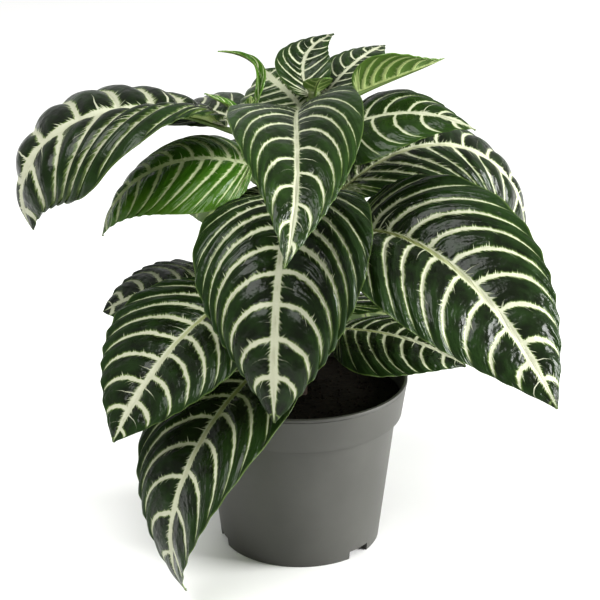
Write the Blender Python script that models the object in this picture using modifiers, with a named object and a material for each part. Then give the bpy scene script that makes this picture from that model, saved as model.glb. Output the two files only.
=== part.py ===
"""Potted zebra plant: a nursery pot of potting soil with one leafy stem and its side shoot.

Metres, +Z up. The origin is on the ground at the pot's axis, and the plant's best side faces -Y.
"""

import math

import bmesh
import bpy
import numpy as np

# Pot: a thin-walled 14 cm nursery pot, with a rim band over a tapered body and raised drain pockets at its foot
POT_RIM_RADIUS = 0.070
POT_HEIGHT = 0.1125
POT_BAND_HEIGHT = 0.024
POT_BAND_FOOT_RADIUS = 0.0665
POT_SHOULDER_RADIUS = 0.0627
SHOULDER_DROP = 0.0015
POT_BASE_RADIUS = 0.0524
POT_WALL = 0.0016
POT_FLOOR = 0.0016
POT_LIP = 0.0024
LIP_HEIGHT = 0.002
LIP_SETBACK = 0.0002
POT_EDGE_EASE = 0.0005
POT_SIDES = 64
POCKET_ANGLES = (197, 317, 77)
POCKET_WIDTH = 0.017
POCKET_DEPTH = 0.0155
POCKET_HEIGHT = 0.0056
POCKET_ARC_POINTS = 7
DRAIN_RADIUS = 0.004
DRAIN_SIDES = 16

# Soil: a plug that fills the pot to about 12 mm under the lip
GAP = 0.0003
SOIL_TOP = 0.100
SOIL_EDGE_DROP = 0.001
SOIL_RINGS = 6
SOIL_SIDES = 40
LUMP_HEIGHT = 0.0012
LUMP_FADE = 0.020
LUMP_WAVES = ((310, 1.3, 270, 0.0), (190, 0.7, 240, 2.1))
STEM_HOLE_DEPTH = 0.035

# Stem: leans a little to the right and away as it rises
STEM_FOOT_RADIUS = 0.0048
STEM_TIP_RADIUS = 0.0026
STEM_TOP = 0.301
STEM_LEAN_RIGHT = 0.009
STEM_LEAN_BACK = 0.004
STEM_LEAN_SPAN = 0.200
STEM_LEAN_POWER = 1.4
STEM_POINTS = 22
SHOOT_NODE = 0.262
SHOOT_RISE = 0.002
SHOOT_TIP = (-0.031, -0.003, 0.290)
SHOOT_RADIUS = 0.0021
SHOOT_POINTS = 9
TUBE_RESOLUTION = 4
WELD = 0.00001

# Leaves: the relief of a full-grown blade, and how finely a blade is divided
GROWN_WIDTH = 0.110
BLADE_THICKNESS = 0.0009
NARROWEST = 0.0006
QUILT_HEIGHT = 0.0016
QUILT_REACH = 0.85
QUILT_CREST = 0.7
EDGE_WAVE = 0.0012
MIDRIB_RIDGE = 0.0015
RIDGE_TAPER = 0.8
PETIOLE_RADIUS = 0.0023
PETIOLE_SLIMMEST = 0.45
PETIOLE_FLATNESS = 0.85
PETIOLE_RINGS = 4
LEAF_GAP = 0.0005
ACROSS = (-1.0, -0.62, -0.28, 0.0, 0.28, 0.62, 1.0)
BLADE_FOOT = 0.02
FIRST_VEIN = 0.06
VEIN_SWEEP = 0.62
VEIN_CURVE = 0.55
LOBE_PLACE = 0.08
SHARE_STEP = 0.004
SIDE_STEP = 0.05
CENTRELINE_STEPS = 60

LEAF_HABIT = dict(
    petiole=0.034,      # length of the stalk
    pitch=40,           # how steeply the stalk leaves the stem
    droop=80,           # how far the leaf has bent over at its tip
    early_bend=1.4,     # 1 bends evenly, and more bends sooner
    lift=0,             # extra bend of the last third, up if positive
    swing=0,            # turn of the midrib about the vertical, all along
    hook=0,             # the same, near the tip only
    roll=0,             # tilt of the blade about its midrib
    twist=0,            # extra tilt reached at the tip
    fold=15,            # how far both halves rise from the midrib at the base
    fold_tip=5,         # the same at the tip
    fold_fade=1.0,      # 1 fades evenly, and more fades sooner
    skew=0,             # how far the left half rises more than the right
    curl=25,            # how far each half arches over from midrib to margin
    base_round=0.57,    # below 1 the base is round, and smaller is blunter
    lobe=0.03,          # how far both lobes of the base reach back, as a share of the length
    tip_taper=1.0,      # above 1 the tip is drawn out
    veins=9,            # pairs of side veins
    root=None,          # place of the stalk's foot, for a leaf off the main stem
    root_radius=None,   # radius of what it stands on there
    young=False,        # light green instead of dark
)


def leaf(name, node, azimuth, length, width, **habit):
    """Returns one leaf's dimensions: the height of its node, its direction and its habit."""
    return dict(LEAF_HABIT, name=name, node=node, azimuth=azimuth, length=length, width=width, **habit)


# Azimuth 0 is +X and 270 faces the viewer. Pairs stand opposite each other, lowest node first.
LEAVES = [
    leaf("leaf_front_over_pot", 0.130, 244, 0.176, 0.099, petiole=0.041, pitch=20, droop=108,
         early_bend=1.1, lift=-30, swing=-29, twist=10, fold=5, fold_tip=15, curl=10, base_round=0.55),
    leaf("leaf_back_over_pot", 0.128, 66, 0.150, 0.096, petiole=0.042, pitch=30, droop=95,
         early_bend=1.2, swing=12, twist=-8, fold=10, veins=8),
    leaf("leaf_right_low", 0.143, 342, 0.088, 0.086, petiole=0.019, pitch=16, droop=44, early_bend=1.0,
         lift=4, hook=-6, roll=5, fold=0, base_round=0.62, veins=8),
    leaf("leaf_left_back_low", 0.160, 179, 0.084, 0.093, petiole=0.045, pitch=33, droop=60,
         early_bend=1.3, swing=4, hook=5, twist=-10, fold=0, fold_tip=10, curl=20, base_round=0.65,
         tip_taper=0.9, veins=8),
    leaf("leaf_left_low", 0.176, 220, 0.128, 0.117, petiole=0.046, pitch=18, droop=69, swing=6, fold=15,
         curl=15, base_round=0.6),
    leaf("leaf_back_low", 0.172, 48, 0.135, 0.100, petiole=0.040, pitch=38, droop=80, swing=8, roll=-5,
         veins=8),
    leaf("leaf_right_big", 0.192, 320, 0.184, 0.117, petiole=0.043, pitch=57, droop=98, early_bend=2.2,
         lift=-10, swing=3, hook=-10, roll=15, twist=5, fold=30, fold_tip=0, skew=4, base_round=0.55,
         tip_taper=1.05, veins=10),
    leaf("leaf_back_left_mid", 0.195, 118, 0.140, 0.094, petiole=0.040, pitch=42, droop=95, swing=-14,
         veins=8),
    leaf("leaf_right_back", 0.208, 29, 0.187, 0.085, petiole=0.032, pitch=56, droop=119, early_bend=1.0,
         lift=-30, swing=5, hook=-25, roll=6, twist=25, fold=12, fold_tip=0, skew=5, curl=40,
         base_round=0.76, tip_taper=0.7, veins=10),
    leaf("leaf_front_low", 0.228, 258, 0.167, 0.110, pitch=37, droop=119, early_bend=1.3, lift=-10,
         swing=12, hook=-5, roll=5, twist=10, fold=30, curl=40, base_round=0.55, veins=10),
    leaf("leaf_back_high", 0.225, 94, 0.150, 0.100, petiole=0.038, pitch=42, droop=100, swing=6,
         fold=25, curl=30),
    leaf("leaf_left_far", 0.250, 172, 0.177, 0.128, petiole=0.057, pitch=35, droop=46, early_bend=1.0,
         lift=-110, swing=40, hook=-38, roll=18, twist=-66, fold=33, fold_tip=-2, fold_fade=2.0, skew=14,
         curl=35, base_round=0.76, tip_taper=0.9, lobe=0.0),
    leaf("leaf_left_back", 0.239, 145, 0.115, 0.067, petiole=0.065, pitch=51, droop=86, early_bend=1.3,
         lift=-15, swing=-16, hook=-5, roll=-5, twist=-5, fold=10, curl=15, base_round=0.6,
         tip_taper=0.95, veins=7),
    leaf("leaf_left_mid", 0.231, 187, 0.121, 0.087, petiole=0.038, pitch=51, droop=108, early_bend=1.1,
         lift=-20, swing=-14, roll=-15, twist=5, fold=5, skew=-6, curl=40, base_round=0.55,
         tip_taper=1.1),
    leaf("leaf_right_mid", 0.262, 340, 0.085, 0.081, petiole=0.026, pitch=51, droop=62, early_bend=1.3,
         lift=-10, swing=3, roll=10, twist=-5, fold=10, skew=12, curl=35, base_round=0.4,
         tip_taper=1.35, veins=7),
    leaf("leaf_back_top", 0.280, 120, 0.068, 0.073, petiole=0.010, pitch=38, droop=47, early_bend=1.8,
         lift=20, swing=-8, hook=-10, roll=-10, twist=-15, fold=10, skew=-4, base_round=0.6, veins=7),
    leaf("leaf_front_top", 0.282, 256, 0.168, 0.080, petiole=0.048, pitch=33, droop=81, early_bend=1.0,
         lift=3, swing=40, hook=-43, roll=18, twist=-44, fold=29, fold_tip=16, skew=6, curl=20,
         base_round=0.58, tip_taper=1.22, lobe=0.08),
    leaf("young_leaf_right", 0.286, 2, 0.059, 0.048, petiole=0.027, pitch=35, droop=25, early_bend=1.6,
         lift=10, swing=14, hook=5, roll=-8, twist=-10, fold=64, skew=-6, curl=5, base_round=0.6,
         veins=7, young=True),
    leaf("young_leaf_upright", 0.292, 135, 0.056, 0.036, petiole=0.005, pitch=68, droop=55,
         early_bend=1.5, lift=10, swing=-120, twist=10, fold=30, curl=20, veins=7, young=True),
    leaf("young_leaf_back", 0.290, 60, 0.077, 0.035, petiole=0.012, pitch=27, droop=18, early_bend=1.3,
         lift=-10, swing=-4, roll=5, twist=5, curl=20, base_round=0.6, veins=7, young=True),
    leaf("young_leaf_tip", 0.299, 276, 0.030, 0.018, petiole=0.004, pitch=57, droop=37, early_bend=1.6,
         lift=-5, swing=9, curl=10, base_round=0.6, veins=4, young=True),
    leaf("shoot_leaf_long", 0.288, 40, 0.058, 0.009, petiole=0.006, pitch=66, droop=60, swing=150,
         fold=60, fold_tip=40, curl=5, root=SHOOT_TIP, root_radius=SHOOT_RADIUS + GAP, veins=4,
         young=True),
    leaf("shoot_leaf_wide", 0.286, 190, 0.026, 0.015, petiole=0.004, pitch=40, droop=10, fold=35,
         curl=5, root=SHOOT_TIP, root_radius=SHOOT_RADIUS, veins=4, young=True),
    leaf("shoot_leaf_short", 0.286, 275, 0.018, 0.008, petiole=0.003, pitch=64, droop=10, fold=40,
         curl=5, root=SHOOT_TIP, root_radius=SHOOT_RADIUS + GAP, veins=4, young=True),
]


def clear_scene():
    for obj in list(bpy.data.objects):
        bpy.data.objects.remove(obj, do_unlink=True)


def new_collection(name):
    collection = bpy.data.collections.new(name)
    bpy.context.scene.collection.children.link(collection)
    return collection


def new_material(name, colour, roughness):
    material = bpy.data.materials.new(name)
    material.use_nodes = True
    shader = material.node_tree.nodes["Principled BSDF"]
    shader.inputs["Base Color"].default_value = (*colour, 1.0)
    shader.inputs["Roughness"].default_value = roughness
    shader.inputs["Metallic"].default_value = 0.0
    return material


def mesh_object(name, points, faces, collection, material):
    """Makes an object from corner points and faces."""
    mesh = bpy.data.meshes.new(name)
    mesh.from_pydata([tuple(p) for p in points], [], faces)
    mesh.materials.append(material)
    obj = bpy.data.objects.new(name, mesh)
    collection.objects.link(obj)
    return obj


def turned_object(name, profile, sides, collection, material):
    """Turns a profile of (radius, height) points about Z with a Screw modifier."""
    points = [(radius, 0.0, height) for radius, height in profile]
    mesh = bpy.data.meshes.new(name)
    mesh.from_pydata(points, [(i, i + 1) for i in range(len(points) - 1)], [])
    mesh.materials.append(material)
    obj = bpy.data.objects.new(name, mesh)
    collection.objects.link(obj)
    screw = obj.modifiers.new("Turn", "SCREW")
    screw.steps = sides
    screw.render_steps = sides
    screw.use_merge_vertices = True
    screw.merge_threshold = WELD
    screw.use_smooth_shade = True
    return obj


def evaluated_mesh(obj):
    """Returns a plain mesh of an object with its modifiers applied."""
    bpy.context.view_layer.update()
    depsgraph = bpy.context.evaluated_depsgraph_get()
    return bpy.data.meshes.new_from_object(obj.evaluated_get(depsgraph))


def pot_outer_radius(height):
    """Radius of the tapered body's outer face, without the rim band."""
    rise = height / (POT_HEIGHT - POT_BAND_HEIGHT)
    return POT_BASE_RADIUS + (POT_SHOULDER_RADIUS - POT_BASE_RADIUS) * rise


def pot_profile():
    """The wall's section, from the middle of the floor up the inside, over the lip and down the outside."""
    band_foot = POT_HEIGHT - POT_BAND_HEIGHT
    return [
        (0.0, POT_FLOOR),
        (pot_outer_radius(POT_FLOOR) - POT_WALL, POT_FLOOR),
        (POT_SHOULDER_RADIUS - POT_WALL, band_foot - SHOULDER_DROP),
        (POT_BAND_FOOT_RADIUS - POT_WALL, band_foot + SHOULDER_DROP),
        (POT_RIM_RADIUS - POT_LIP, POT_HEIGHT - LIP_HEIGHT),
        (POT_RIM_RADIUS - POT_LIP + POT_EDGE_EASE, POT_HEIGHT),
        (POT_RIM_RADIUS - POT_EDGE_EASE, POT_HEIGHT),
        (POT_RIM_RADIUS, POT_HEIGHT - POT_EDGE_EASE),
        (POT_RIM_RADIUS - LIP_SETBACK, POT_HEIGHT - LIP_HEIGHT),
        (POT_BAND_FOOT_RADIUS, band_foot + POT_EDGE_EASE),
        (POT_BAND_FOOT_RADIUS - POT_EDGE_EASE, band_foot),
        (POT_SHOULDER_RADIUS, band_foot - POT_EDGE_EASE),
        (POT_BASE_RADIUS, 0.0),
        (0.0, 0.0),
    ]


def pocket_block(name, angle, end_radius, spread, height, cutters, material=None):
    """A block at one drain pocket, wider by spread all round, whose outer end is an arc at end_radius."""
    half = POCKET_WIDTH / 2 + spread
    inner = POT_BASE_RADIUS - POCKET_DEPTH - spread
    reach = math.asin(half / end_radius)
    arc = [reach * (2 * step / (POCKET_ARC_POINTS - 1) - 1) for step in range(POCKET_ARC_POINTS)]
    outline = [(inner, half), (inner, -half)]
    outline += [(end_radius * math.cos(turn), end_radius * math.sin(turn)) for turn in arc]
    shape = bmesh.new()
    foot = shape.faces.new([shape.verts.new((x, y, 0.0)) for x, y in outline])
    raised = bmesh.ops.extrude_face_region(shape, geom=[foot])["geom"]
    corners = [item for item in raised if isinstance(item, bmesh.types.BMVert)]
    bmesh.ops.translate(shape, verts=corners, vec=(0.0, 0.0, height))
    bmesh.ops.recalc_face_normals(shape, faces=shape.faces)
    mesh = bpy.data.meshes.new(name)
    shape.to_mesh(mesh)
    shape.free()
    if material:
        mesh.materials.append(material)
    block = bpy.data.objects.new(name, mesh)
    block.rotation_euler = (0.0, 0.0, math.radians(angle))
    cutters.objects.link(block)
    return hidden_helper(block)


def drain_cutter(angle, cutters):
    """A peg for the drain hole in a pocket's roof."""
    turn = math.radians(angle)
    middle = POT_BASE_RADIUS - POCKET_DEPTH / 2
    bpy.ops.mesh.primitive_cylinder_add(
        vertices=DRAIN_SIDES,
        radius=DRAIN_RADIUS,
        depth=2 * POT_FLOOR,
        location=(middle * math.cos(turn), middle * math.sin(turn), POCKET_HEIGHT + POT_FLOOR / 2),
    )
    peg = bpy.context.object
    peg.name = f"drain_cutter_{angle}"
    for owner in list(peg.users_collection):
        owner.objects.unlink(peg)
    cutters.objects.link(peg)
    return hidden_helper(peg)


def hidden_helper(obj):
    """Marks an object as a helper that a Boolean reads and that isn't a piece."""
    obj.hide_render = True
    obj.display_type = "WIRE"
    return obj


def add_boolean(obj, name, operation, other):
    """Adds one Boolean modifier."""
    modifier = obj.modifiers.new(name, "BOOLEAN")
    modifier.operation = operation
    modifier.object = other


def build_pot(parts, cutters, material):
    """The pot, turned about its axis, with a raised pocket and a drain hole at three places of its foot.

    A pocket's shell ends in the wall's thickness, and its hollow runs out through the wall.
    """
    pot = turned_object("pot", pot_profile(), POT_SIDES, parts, material)
    wall_middle = POT_BASE_RADIUS - POT_WALL / 3
    outside = POT_BASE_RADIUS + POT_WALL
    roof = POCKET_HEIGHT + POT_FLOOR
    for angle in POCKET_ANGLES:
        shell = pocket_block(f"pocket_shell_{angle}", angle, wall_middle, POT_WALL, roof, cutters, material)
        hollow = pocket_block(f"pocket_hollow_{angle}", angle, outside, 0.0, POCKET_HEIGHT, cutters)
        hollow.location.z = -GAP
        hollow.scale.z = 1 + GAP / POCKET_HEIGHT
        add_boolean(pot, f"Pocket {angle}", "UNION", shell)
        add_boolean(pot, f"Hollow {angle}", "DIFFERENCE", hollow)
        add_boolean(pot, f"Drain {angle}", "DIFFERENCE", drain_cutter(angle, cutters))
    return pot


def soil_lumps(x, y):
    """Height of the crumbs on the soil at a place, a sum of waves that runs out at the pot's wall."""
    waves = sum(
        math.sin(across * x + shift) * math.cos(along * y + lag) for across, shift, along, lag in LUMP_WAVES
    )
    fade = (POT_BAND_FOOT_RADIUS - math.hypot(x, y)) / LUMP_FADE
    return LUMP_HEIGHT * waves * min(1.0, max(0.0, fade))


def soil_profile():
    """The plug's section: down the stem's hole, out over the top, down beside the pot's wall and back in."""
    bottom = POT_FLOOR + GAP
    band_foot = POT_HEIGHT - POT_BAND_HEIGHT
    clear = POT_WALL + 2 * GAP
    hole = STEM_FOOT_RADIUS + GAP
    edge_height = SOIL_TOP - SOIL_EDGE_DROP
    band_slope = (POT_RIM_RADIUS - POT_BAND_FOOT_RADIUS) / POT_BAND_HEIGHT
    edge = POT_BAND_FOOT_RADIUS + band_slope * (edge_height - band_foot) - clear - GAP
    rings = [hole + (edge - hole) * ring / SOIL_RINGS for ring in range(SOIL_RINGS)]
    return [
        (0.0, SOIL_TOP - STEM_HOLE_DEPTH),
        (hole, SOIL_TOP - STEM_HOLE_DEPTH),
        *[(radius, SOIL_TOP) for radius in rings],
        (edge, edge_height),
        (POT_BAND_FOOT_RADIUS - clear, band_foot + SHOULDER_DROP + GAP),
        (POT_SHOULDER_RADIUS - clear, band_foot - SHOULDER_DROP + GAP),
        (pot_outer_radius(bottom) - clear, bottom),
        (0.0, bottom),
    ]


def build_soil(parts, cutters, material):
    """The plug of soil, with crumbs pressed into its top, standing over the drain pockets."""
    turned = turned_object("soil_turned", soil_profile(), SOIL_SIDES, parts, material)
    mesh = evaluated_mesh(turned)
    bpy.data.objects.remove(turned, do_unlink=True)
    for vertex in mesh.vertices:
        x, y, z = vertex.co
        if z > SOIL_TOP - SOIL_EDGE_DROP / 2:
            vertex.co.z = z + soil_lumps(x, y)
    mesh.name = "soil"
    soil = bpy.data.objects.new("soil", mesh)
    parts.objects.link(soil)
    clear_roof = POCKET_HEIGHT + POT_FLOOR + GAP
    for angle in POCKET_ANGLES:
        name = f"pocket_room_{angle}"
        room = pocket_block(name, angle, POT_BASE_RADIUS, POT_WALL + GAP, clear_roof, cutters)
        add_boolean(soil, f"Pocket {angle}", "DIFFERENCE", room)
    return soil


def stem_axis(height):
    """Place of the main stem's axis at a height."""
    rise = max(0.0, (height - SOIL_TOP) / STEM_LEAN_SPAN)
    return np.array((STEM_LEAN_RIGHT * rise ** STEM_LEAN_POWER, STEM_LEAN_BACK * rise, height))


def stem_radius(height):
    """Radius of the main stem at a height, thicker at the foot."""
    rise = max(0.0, (height - SOIL_TOP) / (STEM_TOP - SOIL_TOP))
    return STEM_FOOT_RADIUS + (STEM_TIP_RADIUS - STEM_FOOT_RADIUS) * rise


def tube_object(name, points, radii, parts, material):
    """A round stalk along points, as a closed mesh made from a bevelled curve."""
    curve = bpy.data.curves.new(name, "CURVE")
    curve.dimensions = "3D"
    curve.bevel_depth = 1.0
    curve.bevel_resolution = TUBE_RESOLUTION
    curve.use_fill_caps = True
    spline = curve.splines.new("POLY")
    spline.points.add(len(points) - 1)
    for target, point, radius in zip(spline.points, points, radii):
        target.co = (*point, 1.0)
        target.radius = radius
    guide = bpy.data.objects.new(name + "_curve", curve)
    parts.objects.link(guide)
    mesh = evaluated_mesh(guide)
    bpy.data.objects.remove(guide, do_unlink=True)
    shape = bmesh.new()
    shape.from_mesh(mesh)
    bmesh.ops.remove_doubles(shape, verts=shape.verts, dist=WELD)
    bmesh.ops.recalc_face_normals(shape, faces=shape.faces)
    shape.to_mesh(mesh)
    shape.free()
    mesh.materials.clear()
    mesh.materials.append(material)
    obj = bpy.data.objects.new(name, mesh)
    parts.objects.link(obj)
    return obj


def build_stem(parts, cutters, material):
    """The main stem from the foot of its hole to the growing tip, joined to the side shoot."""
    foot = SOIL_TOP - STEM_HOLE_DEPTH + GAP
    heights = [foot + (STEM_TOP - foot) * step / (STEM_POINTS - 1) for step in range(STEM_POINTS)]
    radii = [stem_radius(height) for height in heights]
    stem = tube_object("stem", [stem_axis(height) for height in heights], radii, parts, material)
    start = stem_axis(SHOOT_NODE)
    end = np.array(SHOOT_TIP)
    corner = np.array((SHOOT_TIP[0], SHOOT_TIP[1], SHOOT_NODE + SHOOT_RISE))
    steps = [step / (SHOOT_POINTS - 1) for step in range(SHOOT_POINTS)]
    route = [start * (1 - t) ** 2 + 2 * corner * t * (1 - t) + end * t ** 2 for t in steps]
    shoot = tube_object("side_shoot", route, [SHOOT_RADIUS] * len(route), cutters, material)
    add_boolean(stem, "Side shoot", "UNION", hidden_helper(shoot))
    return stem


def centreline(plan):
    """The midrib's points and frames from the stem to the tip: place, direction, left side and upper side."""
    total = plan["petiole"] + plan["length"]
    along = np.linspace(0.0, 1.0, CENTRELINE_STEPS + 1)
    bend = 1.0 - (1.0 - along) ** plan["early_bend"]
    rise = np.radians(plan["pitch"] - plan["droop"] * bend + plan["lift"] * along ** 3)
    turn = np.radians(plan["azimuth"] + plan["swing"] * along + plan["hook"] * along ** 3)
    flat = np.stack([np.cos(turn), np.sin(turn), 0 * turn], axis=-1)
    forward = flat * np.cos(rise)[:, None]
    forward[:, 2] = np.sin(rise)
    steps = (forward[1:] + forward[:-1]) / 2 * total / CENTRELINE_STEPS
    if plan["root"] is None:
        root = stem_axis(plan["node"])
        radius = stem_radius(plan["node"])
    else:
        root = np.array(plan["root"][:2] + (plan["node"],))
        radius = plan["root_radius"]
    start = root + (radius + LEAF_GAP) * flat[0]
    places = np.vstack([start, start + np.cumsum(steps, axis=0)])
    level = np.stack([-np.sin(turn), np.cos(turn), 0 * turn], axis=-1)
    upper = np.cross(forward, level)
    tilt = np.radians(plan["roll"] + plan["twist"] * along)[:, None]
    left = level * np.cos(tilt) + upper * np.sin(tilt)
    up = upper * np.cos(tilt) - level * np.sin(tilt)
    return along, places, forward, left, up


def half_width(share, plan):
    """Half of the blade's width at a share of its length: round at the base, drawn out at the tip."""
    base, tip = plan["base_round"], plan["tip_taper"]
    widest = base / (base + tip)
    share = np.clip(share, 0.0, 1.0)
    return plan["width"] / 2 * (share / widest) ** base * ((1 - share) / (1 - widest)) ** tip


def blade_surface(share, side, plan, line):
    """Points of the blade's middle surface at a share of its length, from side -1 at the right margin to 1."""
    along, places, forward, left, up = line
    total = plan["petiole"] + plan["length"]
    near_base = share / LOBE_PLACE * np.exp(1 - share / LOBE_PLACE)
    back = plan["lobe"] * near_base * side ** 2
    reach = (plan["petiole"] + (share - back) * plan["length"]) / total
    centre, across, above = (
        np.stack([np.interp(reach, along, field[:, axis]) for axis in range(3)], axis=-1)
        for field in (places, left, up)
    )
    width = np.maximum(half_width(share, plan), NARROWEST)
    fade = (1 - np.clip(share, 0.0, 1.0)) ** plan["fold_fade"]
    fold = plan["fold"] * fade + plan["fold_tip"] * (1 - fade)
    fold = np.radians(fold + np.sign(side) * plan["skew"])
    arch = math.radians(max(plan["curl"], 0.1))
    out = width * (np.sin(fold) - np.sin(fold - arch * np.abs(side))) / arch
    rise = width * (np.cos(fold - arch * np.abs(side)) - np.cos(fold)) / arch
    return centre + across * (out * np.sign(side))[..., None] + above * rise[..., None]


def vein_rows(plan):
    """Places along the midrib where a row of the blade starts: at each side vein and halfway between."""
    count = 2 * plan["veins"]
    step = (1.0 - FIRST_VEIN) / count
    return [BLADE_FOOT] + [FIRST_VEIN + step * row for row in range(count)] + [1.0]


def swept(place, side):
    """Share of the blade's length that a side vein has reached at a distance from the midrib."""
    start = 1 - (1 - place) ** 3
    run = (1 - VEIN_CURVE) * np.abs(side) + VEIN_CURVE * side ** 2
    return place + (1 - place) * start * VEIN_SWEEP * run


def quilt(row, side):
    """Height of the blade over its middle surface: low at veins, raised between them, waved at the margin."""
    raised = row % 2 == 0
    reach = np.abs(side)
    body = QUILT_HEIGHT * np.sin(QUILT_REACH * np.pi * reach ** QUILT_CREST) if raised else 0 * reach
    wave = EDGE_WAVE * (0.5 if raised else -0.5) * reach ** 4
    return body + wave


def petiole_rings(plan, line):
    """Rings of the stalk. The first lies flat against the stem, the last is the blade's foot."""
    along, places, forward, left, up = line
    total = plan["petiole"] + plan["length"]
    half = len(ACROSS)
    step = math.pi / half
    upper = [math.pi - step * (i + 0.5) for i in range(half)]
    lower = [-angle for angle in upper]
    radius = PETIOLE_RADIUS * min(1.0, max(PETIOLE_SLIMMEST, 2 * plan["width"] / GROWN_WIDTH))
    azimuth = math.radians(plan["azimuth"])
    outward = np.array((math.cos(azimuth), math.sin(azimuth), 0.0))
    rings = []
    for ring in range(PETIOLE_RINGS):
        reach = plan["petiole"] / total * ring / (PETIOLE_RINGS - 1)
        centre, ahead, across, above = (
            np.array([np.interp(reach, along, field[:, axis]) for axis in range(3)])
            for field in (places, forward, left, up)
        )
        points = np.array([
            centre + radius * (across * math.cos(angle) + above * math.sin(angle) * PETIOLE_FLATNESS)
            for angle in upper + lower
        ])
        if ring == 0:
            slide = (points - places[0]) @ outward / (ahead @ outward)
            points = points - slide[:, None] * ahead
        rings.append(points)
    return rings


def blade_rings(plan, line):
    """Rings of the blade, the upper face's points first and then the lower face's."""
    side = np.array(ACROSS)
    rings = []
    for row, place in enumerate(vein_rows(plan)):
        share = swept(place, side)
        middle = blade_surface(share, side, plan, line)
        ahead = blade_surface(np.minimum(share + SHARE_STEP, 1.0), side, plan, line)
        behind = blade_surface(share - SHARE_STEP, side, plan, line)
        outer = blade_surface(share, np.minimum(side + SIDE_STEP, 1.0), plan, line)
        inner = blade_surface(share, np.maximum(side - SIDE_STEP, -1.0), plan, line)
        normal = np.cross(ahead - behind, outer - inner)
        normal /= np.linalg.norm(normal, axis=1)[:, None]
        size = plan["width"] / GROWN_WIDTH
        relief = quilt(row, side) * size * min(1.0, 4 * (1 - place))
        ridge = MIDRIB_RIDGE * size * (1 - RIDGE_TAPER * place) * (side == 0)
        top = middle + normal * (relief + BLADE_THICKNESS / 2)[:, None]
        bottom = middle + normal * (relief - BLADE_THICKNESS / 2 - ridge)[:, None]
        rings.append(np.vstack([top, bottom]))
    return rings


def loft_faces(ring_count):
    """Triangles between the rings, cut alike on the upper and the lower face, and at both ends."""
    half = len(ACROSS)
    faces = []
    for ring in range(ring_count - 1):
        here = ring * 2 * half
        ahead = here + 2 * half
        for column in range(half - 1):
            a, b = here + column, here + column + 1
            c, d = ahead + column + 1, ahead + column
            faces += [(a, d, c), (a, c, b)]
            faces += [(a + half, c + half, d + half), (a + half, b + half, c + half)]
        for column, flip in ((half - 1, False), (0, True)):
            a, b, c, d = here + column, ahead + column, ahead + column + half, here + column + half
            faces += [(a, c, b), (a, d, c)] if flip else [(a, b, c), (a, c, d)]
    last = (ring_count - 1) * 2 * half
    for column in range(half - 1):
        a, b, c, d = column, column + 1, column + 1 + half, column + half
        faces += [(a, b, c), (a, c, d)]
        faces += [(last + a, last + c, last + b), (last + a, last + d, last + c)]
    return faces


def build_leaf(plan, parts, materials):
    """One leaf: its stalk and its quilted blade, a loft between unlike sections."""
    line = centreline(plan)
    rings = petiole_rings(plan, line) + blade_rings(plan, line)
    material = materials["young leaf" if plan["young"] else "leaf"]
    obj = mesh_object(plan["name"], np.vstack(rings), loft_faces(len(rings)), parts, material)
    obj.data.shade_smooth()
    return obj


def main():
    clear_scene()
    parts = new_collection("Potted zebra plant")
    cutters = new_collection("Cutters")
    materials = {
        "pot": new_material("Grey polypropylene", (0.13, 0.13, 0.12), 0.55),
        "soil": new_material("Potting soil", (0.015, 0.011, 0.008), 0.95),
        "stem": new_material("Green stem", (0.05, 0.06, 0.03), 0.6),
        "leaf": new_material("Leaf", (0.02, 0.07, 0.02), 0.35),
        "young leaf": new_material("Young leaf", (0.10, 0.22, 0.04), 0.35),
    }
    build_pot(parts, cutters, materials["pot"])
    build_soil(parts, cutters, materials["soil"])
    build_stem(parts, cutters, materials["stem"])
    for plan in LEAVES:
        build_leaf(plan, parts, materials)


main()
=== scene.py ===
"""Potted zebra plant, dressed for rendering: fine leaves, stem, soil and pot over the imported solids.

Metres, +Z up, with the pot's foot on the ground at the origin. The plant's best side faces -Y.
"""

import math

import bpy
import numpy as np
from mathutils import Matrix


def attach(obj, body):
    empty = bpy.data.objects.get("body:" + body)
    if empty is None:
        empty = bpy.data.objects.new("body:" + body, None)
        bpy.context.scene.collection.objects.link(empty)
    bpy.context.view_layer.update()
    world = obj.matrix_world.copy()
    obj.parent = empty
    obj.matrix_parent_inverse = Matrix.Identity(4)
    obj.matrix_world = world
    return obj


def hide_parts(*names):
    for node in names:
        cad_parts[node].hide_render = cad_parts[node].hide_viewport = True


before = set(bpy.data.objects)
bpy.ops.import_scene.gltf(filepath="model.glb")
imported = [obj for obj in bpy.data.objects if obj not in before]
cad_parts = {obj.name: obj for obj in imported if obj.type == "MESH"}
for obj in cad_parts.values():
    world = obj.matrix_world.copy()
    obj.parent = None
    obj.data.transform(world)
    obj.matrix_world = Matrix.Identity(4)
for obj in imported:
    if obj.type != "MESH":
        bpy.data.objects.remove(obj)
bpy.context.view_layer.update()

bl_info = {
    "name": "Potted zebra plant",
    "version": (1, 0, 0),
    "blender": (4, 5, 0),
    "location": "3D View > Sidebar > Zebra plant",
    "description": "Grows a zebra plant's leaves, stem, soil and nursery pot over their packed solids",
    "category": "Add Mesh",
}

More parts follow.
